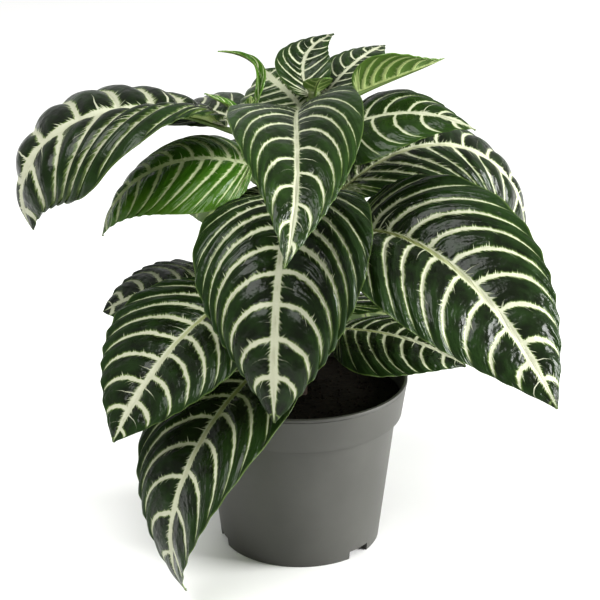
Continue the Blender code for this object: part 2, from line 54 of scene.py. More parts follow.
# Pot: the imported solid's sizes, turned more finely
POT_RIM_RADIUS = 0.070
POT_HEIGHT = 0.1125
POT_BAND_HEIGHT = 0.024
POT_BAND_FOOT_RADIUS = 0.0665
POT_SHOULDER_RADIUS = 0.0627
SHOULDER_DROP = 0.0015
POT_BASE_RADIUS = 0.0524
POT_WALL = 0.0016
POT_FLOOR = 0.0016
POT_LIP = 0.0024
LIP_HEIGHT = 0.002
LIP_EDGE = 0.0002
GROOVE_DEPTH = 0.0006
GROOVE_WIDTH = 0.0003
BAND_SETBACK = 0.0003
POT_EDGE_EASE = 0.0005
CORNER_CUT = 0.3
FOOT_ROUNDING = ((0.0001, 0.0012), (0.0, 0.0004), (-0.0003, 0.0))
POCKET_ANGLES = (197, 317, 77)
POCKET_WIDTH = 0.017
POCKET_DEPTH = 0.0155
POCKET_HEIGHT = 0.0056
POCKET_ARC_POINTS = 15
DRAIN_RADIUS = 0.004
DRAIN_SIDES = 24
POT_SHARP_ANGLE = 35

# Soil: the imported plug's sizes, and how its top is lumped and strewn with crumbs
GAP = 0.0003
SOIL_TOP = 0.100
SOIL_TOP_DEPTH = 0.0005
SOIL_EDGE_DROP = 0.001
SOIL_RINGS = 34
SOIL_SIDES = 120
SOIL_SEED = 4
LUMP_FADE = 0.010
LUMP_NOISES = (("coarse", 75.0), ("fine", 320.0))
LUMP_DETAIL = 3.0
CRUMB_CLEARANCE = 0.0025
CRUMB_SMALLEST = 0.25
CRUMB_TURN = 6.3
CRUMB_SLIMMEST = (0.5, 0.5, 0.35)
CRUMB_FULLEST = (1.3, 1.0, 0.9)

# Stem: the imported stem's sizes
STEM_FOOT_RADIUS = 0.0048
STEM_TIP_RADIUS = 0.0026
STEM_FOOT = 0.0653
STEM_TOP = 0.301
STEM_LEAN_RIGHT = 0.009
STEM_LEAN_BACK = 0.004
STEM_LEAN_SPAN = 0.200
STEM_LEAN_POWER = 1.4
STEM_POINTS = 190
STEM_SIDES = 24
BUD_HEIGHT = 0.004
BUD_TIP = 0.05
NODE_REACH = 0.0032
SHOOT_NODE = 0.262
SHOOT_RISE = 0.002
SHOOT_TIP = (-0.031, -0.003, 0.290)
SHOOT_RADIUS = 0.0021
SHOOT_TAPER = 0.5
SHOOT_SWELLING = 0.5
SHOOT_POINTS = 40
GREENING = 6.0
GREEN_START = 1.5
RING_TURNS = 2600.0
RING_HEIGHT = 0.15
SOFT_SHARP_ANGLE = 60

# Leaves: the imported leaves' sizes, and how finely each is divided
GROWN_WIDTH = 0.110
LEAF_GAP = 0.0005
NARROWEST = 0.0003
PETIOLE_SLIMMEST = 0.45
CURVE_STEPS = 120
ROW_CROWDING = 1.6
ROW_LENGTH = 0.0011
COLUMN_WIDTH = 0.0018
FEWEST_ROWS = 32
FEWEST_COLUMNS = 17
STALK_SIDES = 12
LEAF_SHARP_ANGLE = 70
SEED_STEP = 1.7
WELD = 0.00001

# Leaf form: shares of the blade's length or half width, unless they are powers or metres
FIRST_VEIN = 0.035
LAST_VEIN = 0.83
VEIN_SPAN = LAST_VEIN - FIRST_VEIN
SWEEP_START = 9.0
VEIN_CROWDING = 1.5
CROWDED_LEAST = 0.01
LOBE_VEINS = 4
LOBE_PLACE = 0.08
MARGIN_POWER = 4.0
LEAST_CURL = 0.002
QUILT_POWER = 0.75
QUILT_CREST = 0.7
FLAT_TIP = 0.25
WAVE_SHARE = -0.5
CRUMPLE_SCALE = 70.0
CRUMPLE_DETAIL = 1.5
UNDER_START = 0.008
UNDER_LENGTH = 0.014
UNDER_SLIMMING = -0.38
RIB_THINNING = -0.86
STALK_SINK = -0.9

# Leaf markings, in millimetres on a full-grown leaf, unless they are shares or powers
MILLIMETRES = 1000.0
VEIN_WANDER = 0.16
TOOTH_SPACING = 0.75
TOOTH_LEAN = -0.9
TOOTH_HALF = 0.4545
TOOTH_POWER = 2.0
TOOTH_LENGTH = 1.5
NEEDLE_LENGTH = 2.0
VEIN_HALF = 1.15
VEIN_HALF_SLOPE = 1.05
VEIN_HALF_FALL = -2.2
VEIN_HALF_LEAST = 0.2
VEIN_GAP_SHARE = 0.24
VEIN_GAP_LEAST = 0.12
RIB_TOOTH_SPACING = 0.95
RIB_TOOTH_LEAN = -0.7
RIB_TOOTH_HALF = 0.4167
RIB_TOOTH_POWER = 2.5
RIB_TOOTH_LENGTH = 3.2
RIB_HALF = 1.35
RIB_HALF_SLOPE = 2.7
RIB_HALF_FALL = -1.4
SHORT_RANGE = 30.0
SHORT_SHORTEST = -9.0
SHORT_HALF = 0.55
SHORT_GAP_SHARE = 0.1
TOOTH_RANDOMNESS = 0.85

# Leaf markings: far-apart numbers that give each side of each vein, and of the midrib, teeth of its own
LANE_VEIN = 13.7
LANE_FLANK = 3.1
LANE_HALF = 41.3
LANE_SPREAD = 97.0
RIB_LANE_HALF = 57.9
RIB_LANE_SPREAD = 89.0

# Leaf finish: how strongly each cause tells in the colour, the relief and the gloss
FRINGE_STRENGTH = 0.55
MARGIN_LINE = 0.25
GREEN_POWER = 2.5
# Painted light: how much greener the crests between veins are painted than the darker valleys at the veins
CREST_PAINTED_LIGHT = 0.25
STREAKING = 1.6
MOTTLING = 2.0
OLD_RIB_START = 1.9
OLD_RIB_FADE = -3.0
FOLD_SCALE = 2.6
FOLD_HEIGHT = 2.8
CREAM_HEIGHT = 0.2
BLADE_ROUGHNESS = 0.23
CREAM_ROUGHER = 0.16
MOTTLE_ROUGHER = 0.12
YOUNG_LIGHTER = 0.5
UNDER_VEIN_HEIGHT = 1.2

LEAF_HABIT = dict(
    petiole=0.034, pitch=40, droop=80, early_bend=1.4, lift=0, swing=0, hook=0, roll=0, twist=0,
    fold=15, fold_tip=5, fold_fade=1.0, skew=0, curl=25, base_round=0.57, tip_taper=1.0, lobe=0.03,
    veins=9,
    root=None, root_radius=None, slot="leaf",
    left_sweep=0.5,  # how far the left half's veins run on towards the tip, as a share of what is left
    right_sweep=0.5,  # the same for the right half
    tone=1.0,       # 0 is a young light green blade, 1 a full-grown dark one
    old_rib=0.0,    # how far the midrib has turned olive at the base
    shift=0.5,      # how far the left side's veins stand ahead of the right side's, in vein spacings
    vein_size=1.0,  # how thick the veins are against those of other leaves
    quilt=1.0,      # how far the blade puffs up against other leaves
    pucker=0.004,   # how far the right margin bulges between vein ends, as a share of the width
    left_pucker=0.004,  # the same for the left margin
)


def leaf(name, node, azimuth, length, width, **habit):
    """Returns one leaf's dimensions: the height of its node, its direction and its habit."""
    return dict(LEAF_HABIT, name=name, node=node, azimuth=azimuth, length=length, width=width, **habit)


# Azimuth 0 is +X and 270 faces the viewer. Pairs stand opposite each other, lowest node first.
LEAVES = [
    leaf("leaf_front_over_pot", 0.130, 244, 0.176, 0.099, petiole=0.041, pitch=20, droop=108,
         early_bend=1.1, lift=-30, swing=-29, twist=10, fold=5, fold_tip=15, curl=10, base_round=0.55,
         left_sweep=0.42, shift=0.2, old_rib=0.7),
    leaf("leaf_back_over_pot", 0.128, 66, 0.150, 0.096, petiole=0.042, pitch=30, droop=95,
         early_bend=1.2, swing=12, twist=-8, fold=10, veins=8),
    leaf("leaf_right_low", 0.143, 342, 0.088, 0.086, petiole=0.019, pitch=16, droop=44, early_bend=1.0,
         lift=4, hook=-6, roll=5, fold=0, base_round=0.62, veins=8, old_rib=1.0, vein_size=0.75),
    leaf("leaf_left_back_low", 0.160, 179, 0.084, 0.093, petiole=0.045, pitch=33, droop=60,
         early_bend=1.3, swing=4, hook=5, twist=-10, fold=0, fold_tip=10, curl=20, base_round=0.65,
         tip_taper=0.9, veins=8, pucker=0.03, left_pucker=0.03),
    leaf("leaf_left_low", 0.176, 220, 0.128, 0.117, petiole=0.046, pitch=18, droop=69, swing=6, fold=15,
         curl=15, base_round=0.6, left_sweep=0.45, right_sweep=0.4, shift=0.3, old_rib=0.8),
    leaf("leaf_back_low", 0.172, 48, 0.135, 0.100, petiole=0.040, pitch=38, droop=80, swing=8, roll=-5,
         veins=8),
    leaf("leaf_right_big", 0.192, 320, 0.184, 0.117, petiole=0.043, pitch=57, droop=98, early_bend=2.2,
         lift=-10, swing=3, hook=-10, roll=15, twist=5, fold=30, fold_tip=0, skew=4, base_round=0.55,
         tip_taper=1.05, veins=10, left_sweep=0.42, right_sweep=0.42, old_rib=1.0),
    leaf("leaf_back_left_mid", 0.195, 118, 0.140, 0.094, petiole=0.040, pitch=42, droop=95, swing=-14,
         veins=8),
    leaf("leaf_right_back", 0.208, 29, 0.187, 0.085, petiole=0.032, pitch=56, droop=119, early_bend=1.0,
         lift=-30, swing=5, hook=-25, roll=6, twist=25, fold=12, fold_tip=0, skew=5, curl=40,
         base_round=0.76, tip_taper=0.7, veins=10, old_rib=0.5, pucker=0.02, left_pucker=0.04, quilt=1.7),
    leaf("leaf_front_low", 0.228, 258, 0.167, 0.110, pitch=37, droop=119, early_bend=1.3, lift=-10,
         swing=12, hook=-5, roll=5, twist=10, fold=30, curl=40, base_round=0.55, veins=10,
         left_sweep=0.55, right_sweep=0.55, shift=0.0),
    leaf("leaf_back_high", 0.225, 94, 0.150, 0.100, petiole=0.038, pitch=42, droop=100, swing=6,
         fold=25, curl=30),
    leaf("leaf_left_far", 0.250, 172, 0.177, 0.128, petiole=0.057, pitch=35, droop=46, early_bend=1.0,
         lift=-110, swing=40, hook=-38, roll=18, twist=-66, fold=33, fold_tip=-2, fold_fade=2.0, skew=14,
         curl=35, base_round=0.76, tip_taper=0.9, lobe=0.0, veins=8, left_sweep=0.75, right_sweep=0.18,
         pucker=0.05, quilt=2.2, vein_size=1.35),
    leaf("leaf_left_back", 0.239, 145, 0.115, 0.067, petiole=0.065, pitch=51, droop=86, early_bend=1.3,
         lift=-15, swing=-16, hook=-5, roll=-5, twist=-5, fold=10, curl=15, base_round=0.6,
         tip_taper=0.95, veins=7),
    leaf("leaf_left_mid", 0.231, 187, 0.121, 0.087, petiole=0.038, pitch=51, droop=108, early_bend=1.1,
         lift=-20, swing=-14, roll=-15, twist=5, fold=5, skew=-6, curl=40, base_round=0.55,
         tip_taper=1.1, tone=0.45, vein_size=0.95),
    leaf("leaf_right_mid", 0.262, 340, 0.085, 0.081, petiole=0.026, pitch=51, droop=62, early_bend=1.3,
         lift=-10, swing=3, roll=10, twist=-5, fold=10, skew=12, curl=35, base_round=0.4,
         tip_taper=1.35, veins=6, tone=0.9, vein_size=0.8),
    leaf("leaf_back_top", 0.280, 120, 0.068, 0.073, petiole=0.010, pitch=38, droop=47, early_bend=1.8,
         lift=20, swing=-8, hook=-10, roll=-10, twist=-15, fold=10, skew=-4, base_round=0.6, veins=7,
         tone=0.85),
    leaf("leaf_front_top", 0.282, 256, 0.168, 0.080, petiole=0.048, pitch=33, droop=81, early_bend=1.0,
         lift=3, swing=40, hook=-43, roll=18, twist=-44, fold=29, fold_tip=16, skew=6, curl=20,
         base_round=0.58, tip_taper=1.22, lobe=0.08, left_sweep=0.55, right_sweep=0.55, tone=0.95,
         vein_size=0.85),
    leaf("young_leaf_right", 0.286, 2, 0.059, 0.048, petiole=0.027, pitch=35, droop=25, early_bend=1.6,
         lift=10, swing=14, hook=5, roll=-8, twist=-10, fold=64, skew=-6, curl=5, base_round=0.6,
         veins=7, slot="young_leaf", tone=0.5),
    leaf("young_leaf_upright", 0.292, 135, 0.056, 0.036, petiole=0.005, pitch=68, droop=55,
         early_bend=1.5, lift=10, swing=-120, twist=10, fold=30, curl=20, veins=7, slot="young_leaf",
         tone=0.95, vein_size=0.8),
    leaf("young_leaf_back", 0.290, 60, 0.077, 0.035, petiole=0.012, pitch=27, droop=18, early_bend=1.3,
         lift=-10, swing=-4, roll=5, twist=5, curl=20, base_round=0.6, veins=7, slot="young_leaf",
         tone=0.95, vein_size=0.8),
    leaf("young_leaf_tip", 0.299, 276, 0.030, 0.018, petiole=0.004, pitch=57, droop=37, early_bend=1.6,
         lift=-5, swing=9, curl=10, base_round=0.6, veins=4, slot="young_leaf", tone=0.6),
    leaf("shoot_leaf_long", 0.288, 40, 0.058, 0.009, petiole=0.006, pitch=66, droop=60, swing=150,
         fold=60, fold_tip=40, curl=5, root=SHOOT_TIP, root_radius=SHOOT_RADIUS + GAP, veins=4,
         slot="young_leaf", tone=0.35),
    leaf("shoot_leaf_wide", 0.286, 190, 0.026, 0.015, petiole=0.004, pitch=40, droop=10, fold=35,
         curl=5, root=SHOOT_TIP, root_radius=SHOOT_RADIUS, veins=4, slot="young_leaf", tone=0.35),
    leaf("shoot_leaf_short", 0.286, 275, 0.018, 0.008, petiole=0.003, pitch=64, droop=10, fold=40,
         curl=5, root=SHOOT_TIP, root_radius=SHOOT_RADIUS + GAP, veins=4, slot="young_leaf", tone=0.35),
]

# Stage: the camera stands where the photograph was taken from
CAMERA_ELEVATION = 21.2
CAMERA_DISTANCE = 1.2
CAMERA_TARGET = (0.00003, 0.0, 0.1648)
CAMERA_LENS = 112.56
SENSOR_WIDTH = 36.0
FLOOR_SIDE = 12.0
FLOOR_ROUGHNESS = 0.7
LIGHT_TARGET = (0.0, 0.0, 0.17)
KEY_SIZE = 1.2
KEY_PLACE = (2.2, -0.3, 0.9)
TOP_SIZE = 2.0
TOP_PLACE = (-0.7, -1.0, 2.6)


def linear(code):
    """An sRGB hex colour as linear red, green and blue."""
    parts = [int(code[start:start + 2], 16) / 255 for start in (1, 3, 5)]
    return tuple(c / 12.92 if c <= 0.04045 else ((c + 0.055) / 1.055) ** 2.4 for c in parts)


def colour_property(name, description, code):
    """A colour that a user may change."""
    return bpy.props.FloatVectorProperty(
        name=name, description=description, default=linear(code), size=3, min=0.0, max=1.0, subtype="COLOR"
    )


def length_property(name, description, default):
    """A length that a user may change."""
    return bpy.props.FloatProperty(
        name=name, description=description, default=default, min=0.0, precision=5, subtype="DISTANCE"
    )


class LeafSettings(bpy.types.PropertyGroup):
    thickness: length_property("Thickness", "Thickness of a blade", 0.0007)
    quilt_height: length_property("Quilting", "How far a full-grown blade puffs up between its veins", 0.0018)
    margin_wave: length_property("Margin wave", "Height of the waves along the margin", 0.0012)
    crumple: length_property("Crumple", "Height of the uneven lumps all over the blade", 0.0010)
    stalk_radius: length_property("Stalk radius", "Radius of a full-grown leaf's stalk", 0.0023)
    dark_green: colour_property("Dark green", "A full-grown blade beside its veins", "#131A0D")
    margin_green: colour_property("Margin green", "A full-grown blade near its margin", "#1E3013")
    young_green: colour_property("Young green", "A young blade beside its veins", "#3A6613")
    young_margin: colour_property("Young margin", "A young blade near its margin", "#4E741F")
    vein_cream: colour_property("Vein cream", "Veins of a full-grown blade", "#AAAC96")
    young_vein: colour_property("Young vein", "Veins of a young blade", "#A2AF80")
    vein_edge: colour_property("Vein edge", "Thin rim where a vein meets the green", "#7C9150")
    old_rib: colour_property("Old midrib", "Core of an old midrib near the stalk", "#83895A")
    underside: colour_property("Underside", "Lower face of a blade", "#4C6428")
    under_vein: colour_property("Underside vein", "Raised veins of the lower face", "#9DAC70")
    stalk_green: colour_property("Stalk green", "Leaf stalks", "#566B32")
    stalk_purple: colour_property("Stalk purple", "Flush on the sunny side of the stalks", "#3A2A26")


class StemSettings(bpy.types.PropertyGroup):
    node_swelling: length_property("Node swelling", "How far the stem thickens where leaves join", 0.0013)
    stem_green: colour_property("Stem green", "Young upper part of the stem", "#4F5F30")
    stem_brown: colour_property("Stem brown", "Corky lower part of the stem", "#3A2C22")


class SoilSettings(bpy.types.PropertyGroup):
    lump_height: length_property("Lump height", "Height of the lumps in the top of the soil", 0.0022)
    crumb_radius: length_property("Crumb radius", "Radius of the largest loose crumbs", 0.0017)
    crumbs_per_square_metre: bpy.props.FloatProperty(
        name="Crumbs per square metre", description="How thickly loose crumbs lie", default=52000.0, min=0.0
    )
    soil_dark: colour_property("Dark soil", "Moist peat", "#0E0A06")
    soil_light: colour_property("Light soil", "Drier fibres and crumbs", "#251A11")


class PotSettings(bpy.types.PropertyGroup):
    sides: bpy.props.IntProperty(
        name="Sides", description="How finely the pot is turned", default=192, min=32
    )
    plastic_grey: colour_property("Grey", "Moulded polypropylene", "#454541")
    scuff_grey: colour_property("Scuff grey", "Where the plastic is rubbed or dusty", "#4D4D49")


class StageSettings(bpy.types.PropertyGroup):
    floor_white: colour_property("Floor", "Pale studio floor", "#EAEAE9")
    key_power: bpy.props.FloatProperty(
        name="Key light", description="Power of the softbox at the right", default=102.0, subtype="POWER"
    )
    top_power: bpy.props.FloatProperty(
        name="Top light", description="Power of the softbox overhead", default=84.0, subtype="POWER"
    )
    sky_strength: bpy.props.FloatProperty(
        name="Sky", description="Strength of the even light from all round", default=0.45, min=0.0
    )


SETTINGS = (
    ("zebra_leaf", LeafSettings),
    ("zebra_stem", StemSettings),
    ("zebra_soil", SoilSettings),
    ("zebra_pot", PotSettings),
    ("zebra_stage", StageSettings),
)


def fill(tree, node, inputs):
    """Sets inputs, given by name or number. Sockets, nodes and lists of them are linked, values are set."""
    for key, value in inputs.items():
        for source in value if isinstance(value, list) else [value]:
            if isinstance(source, bpy.types.Node):
                source = source.outputs[0]
            if isinstance(source, bpy.types.NodeSocket):
                tree.links.new(source, node.inputs[key])
            else:
                node.inputs[key].default_value = source


def add_node(tree, kind, inputs=None, **settings):
    """Adds a node with its settings and inputs."""
    node = tree.nodes.new(kind)
    for setting, value in settings.items():
        setattr(node, setting, value)
    fill(tree, node, inputs or {})
    return node


SYMBOLS = {"+": "ADD", "-": "SUBTRACT", "*": "MULTIPLY", "/": "DIVIDE", "^": "POWER", "*+": "MULTIPLY_ADD"}


def add_table(tree, kind, values, rows):
    """Adds a table's nodes. A row names its result, the term it starts from and the steps from there.

    A step is an operation, alone or with further terms, which are numbers or earlier names. The result
    so far comes first, unless one of them is called "it".
    """
    for name, start, *steps in rows:
        it = values.get(start, start)
        for step in steps:
            operation, *terms = (step,) if isinstance(step, str) else step
            if "it" not in terms:
                terms = ["it", *terms]
            symbol, _, clamped = operation.partition(" ")
            settings = {"use_clamp": True} if clamped else {}
            known = {**values, "it": it}
            inputs = {number: known.get(term, term) for number, term in enumerate(terms)}
            it = add_node(tree, kind, inputs, operation=SYMBOLS.get(symbol, symbol), **settings).outputs[0]
        values[name] = it


def ramp(start, end):
    """A step that rises evenly from 0 where the result so far is at start to 1 where it is at end."""
    return "*+ clamped", 1 / (end - start), -start / (end - start)


def new_tree(name, inputs):
    """A geometry node tree with named inputs and one geometry output. Returns it and its input sockets."""
    tree = bpy.data.node_groups.new(name, "GeometryNodeTree")
    for label, kind in inputs:
        tree.interface.new_socket(name=label, in_out="INPUT", socket_type="NodeSocket" + kind)
    tree.interface.new_socket(name="Geometry", in_out="OUTPUT", socket_type="NodeSocketGeometry")
    group = add_node(tree, "NodeGroupInput")
    return tree, {socket.name: socket for socket in group.outputs if socket.name}


def end_tree(tree, parts, coats):
    """Joins a list of parts, makes them real, and gives each (selection, material) to what it covers."""
    whole = add_node(tree, "GeometryNodeJoinGeometry", {"Geometry": parts})
    result = add_node(tree, "GeometryNodeRealizeInstances", {"Geometry": whole})
    for selection, material in coats:
        inputs = {"Geometry": result, "Selection": selection, "Material": material}
        result = add_node(tree, "GeometryNodeSetMaterial", inputs)
    add_node(tree, "NodeGroupOutput", {0: result})


def new_object(name, data):
    """A new object of the scene that holds a mesh, a lamp or a camera."""
    obj = bpy.data.objects.new(name, data)
    bpy.context.scene.collection.objects.link(obj)
    return obj


def new_mesh(name, points, edges=(), faces=()):
    """A mesh from lists of points, edges and faces."""
    mesh = bpy.data.meshes.new(name)
    mesh.from_pydata(points, edges, faces)
    return mesh


def plain_copy(obj, name):
    """A new object that holds the evaluated mesh of another, with no modifiers. The other is used up."""
    bpy.context.view_layer.update()
    depsgraph = bpy.context.evaluated_depsgraph_get()
    mesh = bpy.data.meshes.new_from_object(obj.evaluated_get(depsgraph))
    mesh.name = name
    bpy.data.objects.remove(obj, do_unlink=True)
    return new_object(name, mesh)


def grown_object(name, tree, inputs, source=None):
    """A plain object made by running a node tree on a source mesh, with the tree's inputs set by name."""
    seed = new_object(name + "_seed", source or bpy.data.meshes.new(name + "_seed"))
    modifier = seed.modifiers.new("Grow", "NODES")
    modifier.node_group = tree
    for item in tree.interface.items_tree:
        if item.in_out == "INPUT" and item.name in inputs:
            modifier[item.identifier] = inputs[item.name]
    return plain_copy(seed, name)


def dress(obj, node, sharp_angle):
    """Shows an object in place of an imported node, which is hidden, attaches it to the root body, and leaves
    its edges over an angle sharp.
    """
    obj.data.set_sharp_from_angle(angle=math.radians(sharp_angle))
    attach(obj, "root")
    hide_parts(node)


def new_material(name, noises=()):
    """A material with a noise in its object's coordinates for each (name, scale per metre, detail).

    Returns the material, its tree, its shader and the noises by name.
    """
    material = bpy.data.materials.new(name)
    material.use_nodes = True
    tree = material.node_tree
    values = {}
    for field, scale, detail in noises:
        place = add_node(tree, "ShaderNodeTexCoord").outputs["Object"]
        noise = add_node(tree, "ShaderNodeTexNoise", {"Vector": place, "Scale": scale, "Detail": detail})
        values[field] = noise.outputs["Fac"]
    return material, tree, tree.nodes["Principled BSDF"], values


def finish(tree, shader, values, settings, blends, relief, inputs):
    """Gives a shader its colour, its relief and its other inputs.

    A blend is (result, factor, first colour, second colour), where a colour is an earlier result or one
    of the settings, and the last blend is the colour. The relief is (height, strength, depth in metres).
    """
    for name, factor, *ends in blends:
        first, second = (values[end] if end in values else (*getattr(settings, end), 1.0) for end in ends)
        blend = add_node(tree, "ShaderNodeMix", {0: values[factor], 6: first, 7: second}, data_type="RGBA")
        values[name] = blend.outputs[2]
    height, strength, depth = relief
    bump = add_node(
        tree, "ShaderNodeBump", {"Height": values[height], "Strength": strength, "Distance": depth}
    )
    fill(tree, shader, {"Base Color": values["colour"], "Normal": bump, **inputs})


# Leaf tree: the midrib bends, turns and tilts along its length
CENTRELINE = (
    ("x", "index", ("+", 0.5), ("/", CURVE_STEPS)),
    ("unbent", 1.0, ("-", "x"), ("MAXIMUM", 0.0), ("^", "Early bend")),
    ("bend", 1.0, ("-", "unbent")),
    ("x cubed", "x", ("^", 3.0)),
    ("rise", "Droop", ("*", "bend"), ("-", "Pitch", "it"), ("*+", "Lift", "x cubed", "it")),
    ("dip", "rise", ("*", -1.0)),
    ("turn", "Swing", ("*+", "x", "Azimuth"), ("*+", "Hook", "x cubed", "it")),
    ("tilt", "Twist", ("*+", "x", "Roll")),
    ("total", "Petiole", ("+", "Length")),
    ("step", "total", ("/", CURVE_STEPS)),
)

# Leaf tree: where a point of the blade lies, from its row along the leaf and its place across
BLADE = (
    ("place", "grid x", ("+", 0.5), ("^", ROW_CROWDING)),
    ("across", "grid y", ("*", 2.0)),
    ("side", "across", ("*", "across"), ("*+", -0.25, 1.25), ("*", "across", "it")),
    ("reach", "side", "ABSOLUTE"),
    ("half", "side", "SIGN"),
    ("on the left", "side", ("GREATER_THAN", 0.0)),
    ("left runs on", "Left sweep", ("-", "Right sweep")),
    ("runs on", "on the left", ("*+", "left runs on", "Right sweep")),
    ("ahead of it", 1.0, ("-", "place")),
    ("not begun", "ahead of it", ("^", SWEEP_START)),
    ("started", 1.0, ("-", "not begun")),
    ("sweep", "ahead of it", ("*", "started"), ("*", "runs on")),
    ("run", "reach", ("*", "reach")),
    ("share", "sweep", ("*+", "run", "place")),
    ("share left", 1.0, ("-", "share"), ("MAXIMUM", 0.0)),
)

# Leaf tree: number of the side vein at a point, counted from the base, where veins crowd together
VEIN_NUMBER = (
    ("from first", "place", ("-", FIRST_VEIN)),
    ("before first", "from first", ("MINIMUM", 0.0)),
    ("past first", "from first", ("/", VEIN_SPAN), ("MAXIMUM", 0.0)),
    ("vein gaps", "Veins", ("-", 1.0)),
    ("vein", "past first", ("^", 1 / VEIN_CROWDING), ("*+", "vein gaps", 1.0),
     ("*+", "before first", LOBE_VEINS / FIRST_VEIN, "it"), ("*+", "on the left", "Shift", "it")),
    ("at vein", "vein", ("*", 2 * math.pi), "COSINE"),
)

# Leaf tree: half of the blade's width, round at the base and drawn out at the tip, puckered between veins
HALF_WIDTH = (
    ("both ends", "Base round", ("+", "Tip taper")),
    ("widest", "Base round", ("/", "both ends")),
    ("widest left", 1.0, ("-", "widest")),
    ("swell", "share", ("/", "widest"), ("^", "Base round")),
    ("taper", "share left", ("/", "widest left"), ("^", "Tip taper")),
    ("smooth half", "swell", ("*", "taper"), ("*", "Width"), ("*", 0.5)),
    ("at margin", "reach", ("^", MARGIN_POWER)),
    ("left more", "Left pucker", ("-", "Pucker")),
    ("slimming", "on the left", ("*+", "left more", "Pucker"), ("*", "at vein"), ("*", "at margin")),
    ("half width", 1.0, ("-", "slimming"), ("*", "smooth half"), ("MAXIMUM", NARROWEST)),
)

# Leaf tree: the halves fold up from the midrib and arch over to the margin
FOLDING = (
    ("fade", "share left", ("^", "Fold fade")),
    ("fold", "Fold", ("-", "Fold tip"), ("*+", "fade", "Fold tip"), ("*+", "Skew", "half", "it")),
    ("arch", "Curl", ("MAXIMUM", LEAST_CURL)),
    ("arched", "arch", ("*", "reach"), ("-", "fold", "it")),
    ("sine arched", "arched", "SINE"),
    ("cosine fold", "fold", "COSINE"),
    ("arch radius", "half width", ("/", "arch")),
    ("out", "fold", "SINE", ("-", "sine arched"), ("*", "arch radius"), ("*", "half")),
    ("over", "arched", "COSINE", ("-", "cosine fold"), ("*", "arch radius")),
    ("near base", "share", ("/", LOBE_PLACE)),
    ("lobe back", 1.0, ("-", "near base"), "EXPONENT", ("*", "near base"), ("*", "run"), ("*", "Lobe")),
    ("along leaf", "share", ("-", "lobe back"), ("*+", "Length", "Petiole"), ("/", "total")),
)

# Leaf tree: distances on the blade that its veins are drawn by
VEIN_DISTANCES = (
    ("crowding", "past first", ("MAXIMUM", CROWDED_LEAST), ("^", 1 - 1 / VEIN_CROWDING)),
    ("blade step", "crowding", ("/", "vein gaps"), ("*", VEIN_CROWDING * VEIN_SPAN)),
    ("in lobe", "place", ("LESS_THAN", FIRST_VEIN)),
    ("closer", FIRST_VEIN / LOBE_VEINS, ("-", "blade step")),
    ("vein step", "in lobe", ("*+", "closer", "blade step")),
    ("slope", "reach", ("*", 2.0), ("*", "sweep"), ("*", "Length"), ("/", "half width")),
    ("slant", "slope", ("*+", "slope", 1.0), "SQRT"),
    ("gap", "not begun", ("*+", SWEEP_START + 1.0, -1.0), ("*", "run"), ("*+", "runs on", 1.0),
     ("*", "vein step"), ("*", "Length"), ("/", "slant"), ("*", "Vein scale")),
    ("from rib", "half width", ("*", "reach"), ("*", "Vein scale")),
    ("forward", "share", ("-", "place"), ("*", "Length"), ("*", "Vein scale")),
    ("along", "forward", ("*", "forward"), ("*+", "from rib", "from rib", "it"), "SQRT"),
    ("rib way", "place", ("*", "Length"), ("*", "Vein scale")),
)

# Leaf tree: height of the blade over its middle surface, low at veins and raised between them
RELIEF = (
    ("dome", "reach", ("^", QUILT_CREST), ("*", math.pi), "SINE"),
    ("quilt", "vein", ("*", math.pi), "SINE", "ABSOLUTE", ("^", QUILT_POWER), ("*", "dome"),
     ("*", "Quilt height")),
    ("near tip", "ahead of it", ("*", 1 / FLAT_TIP), ("MINIMUM", 1.0)),
    ("relief", "at vein", ("*", "at margin"), ("*", "Margin wave"), ("*+", WAVE_SHARE, "quilt"),
     ("*", "near tip")),
)

# Leaf tree: how far the finished surface is moved along its normals
CRUMPLING = (
    ("shift up", "crumple", ("-", 0.5), ("*+", "Crumple", "stored relief"), ("*+", "Thickness", -0.5, "it")),
)

# Leaf tree: the stalk runs on under the blade as a midrib that thins out to the tip
STALK = (
    ("past stalk", "x", ("*", "total"), ("-", "Petiole")),
    ("rib thinning", "past stalk", ("/ clamped", "Length"), ("*+", RIB_THINNING, 1.0)),
    ("under", "past stalk", ("+", UNDER_START), ("/ clamped", UNDER_LENGTH)),
    ("stalk size", "under", ("*+", UNDER_SLIMMING, 1.0), ("*", "Stalk radius"), ("*", "rib thinning")),
    ("sink", "stalk size", ("*", "under"), ("*", STALK_SINK)),
)

# Attributes on a blade's points, and the three fields that each one holds
LEAF_MAPS = (
    ("vein_map", ("vein", "gap", "along")),
    ("blade_map", ("rib way", "side", "from rib")),
    ("leaf_traits", ("place", "Tone", "Old rib")),
    ("leaf_form", ("relief", "Seed", "half width")),
)

LEAF_ANGLES = (
    "azimuth", "pitch", "droop", "lift", "swing", "hook", "roll", "twist", "fold", "fold_tip", "skew", "curl",
)
LEAF_MEASURES = (
    "petiole", "length", "width", "early_bend", "fold_fade", "base_round", "tip_taper", "lobe", "veins",
    "left_sweep", "right_sweep", "shift", "pucker", "left_pucker", "tone", "old_rib",
)


def input_name(key):
    """The name of the leaf tree's input for one measure of a leaf."""
    return key.replace("_", " ").capitalize()


LEAF_INPUTS = (
    *((input_name(key), "Float") for key in LEAF_ANGLES + LEAF_MEASURES),
    ("Foot", "Vector"), ("Vein scale", "Float"), ("Seed", "Float"), ("Rows", "Int"), ("Columns", "Int"),
    ("Thickness", "Float"), ("Stalk radius", "Float"), ("Quilt height", "Float"), ("Margin wave", "Float"),
    ("Crumple", "Float"), ("Upper face", "Material"), ("Lower face", "Material"), ("Stalk", "Material"),
)


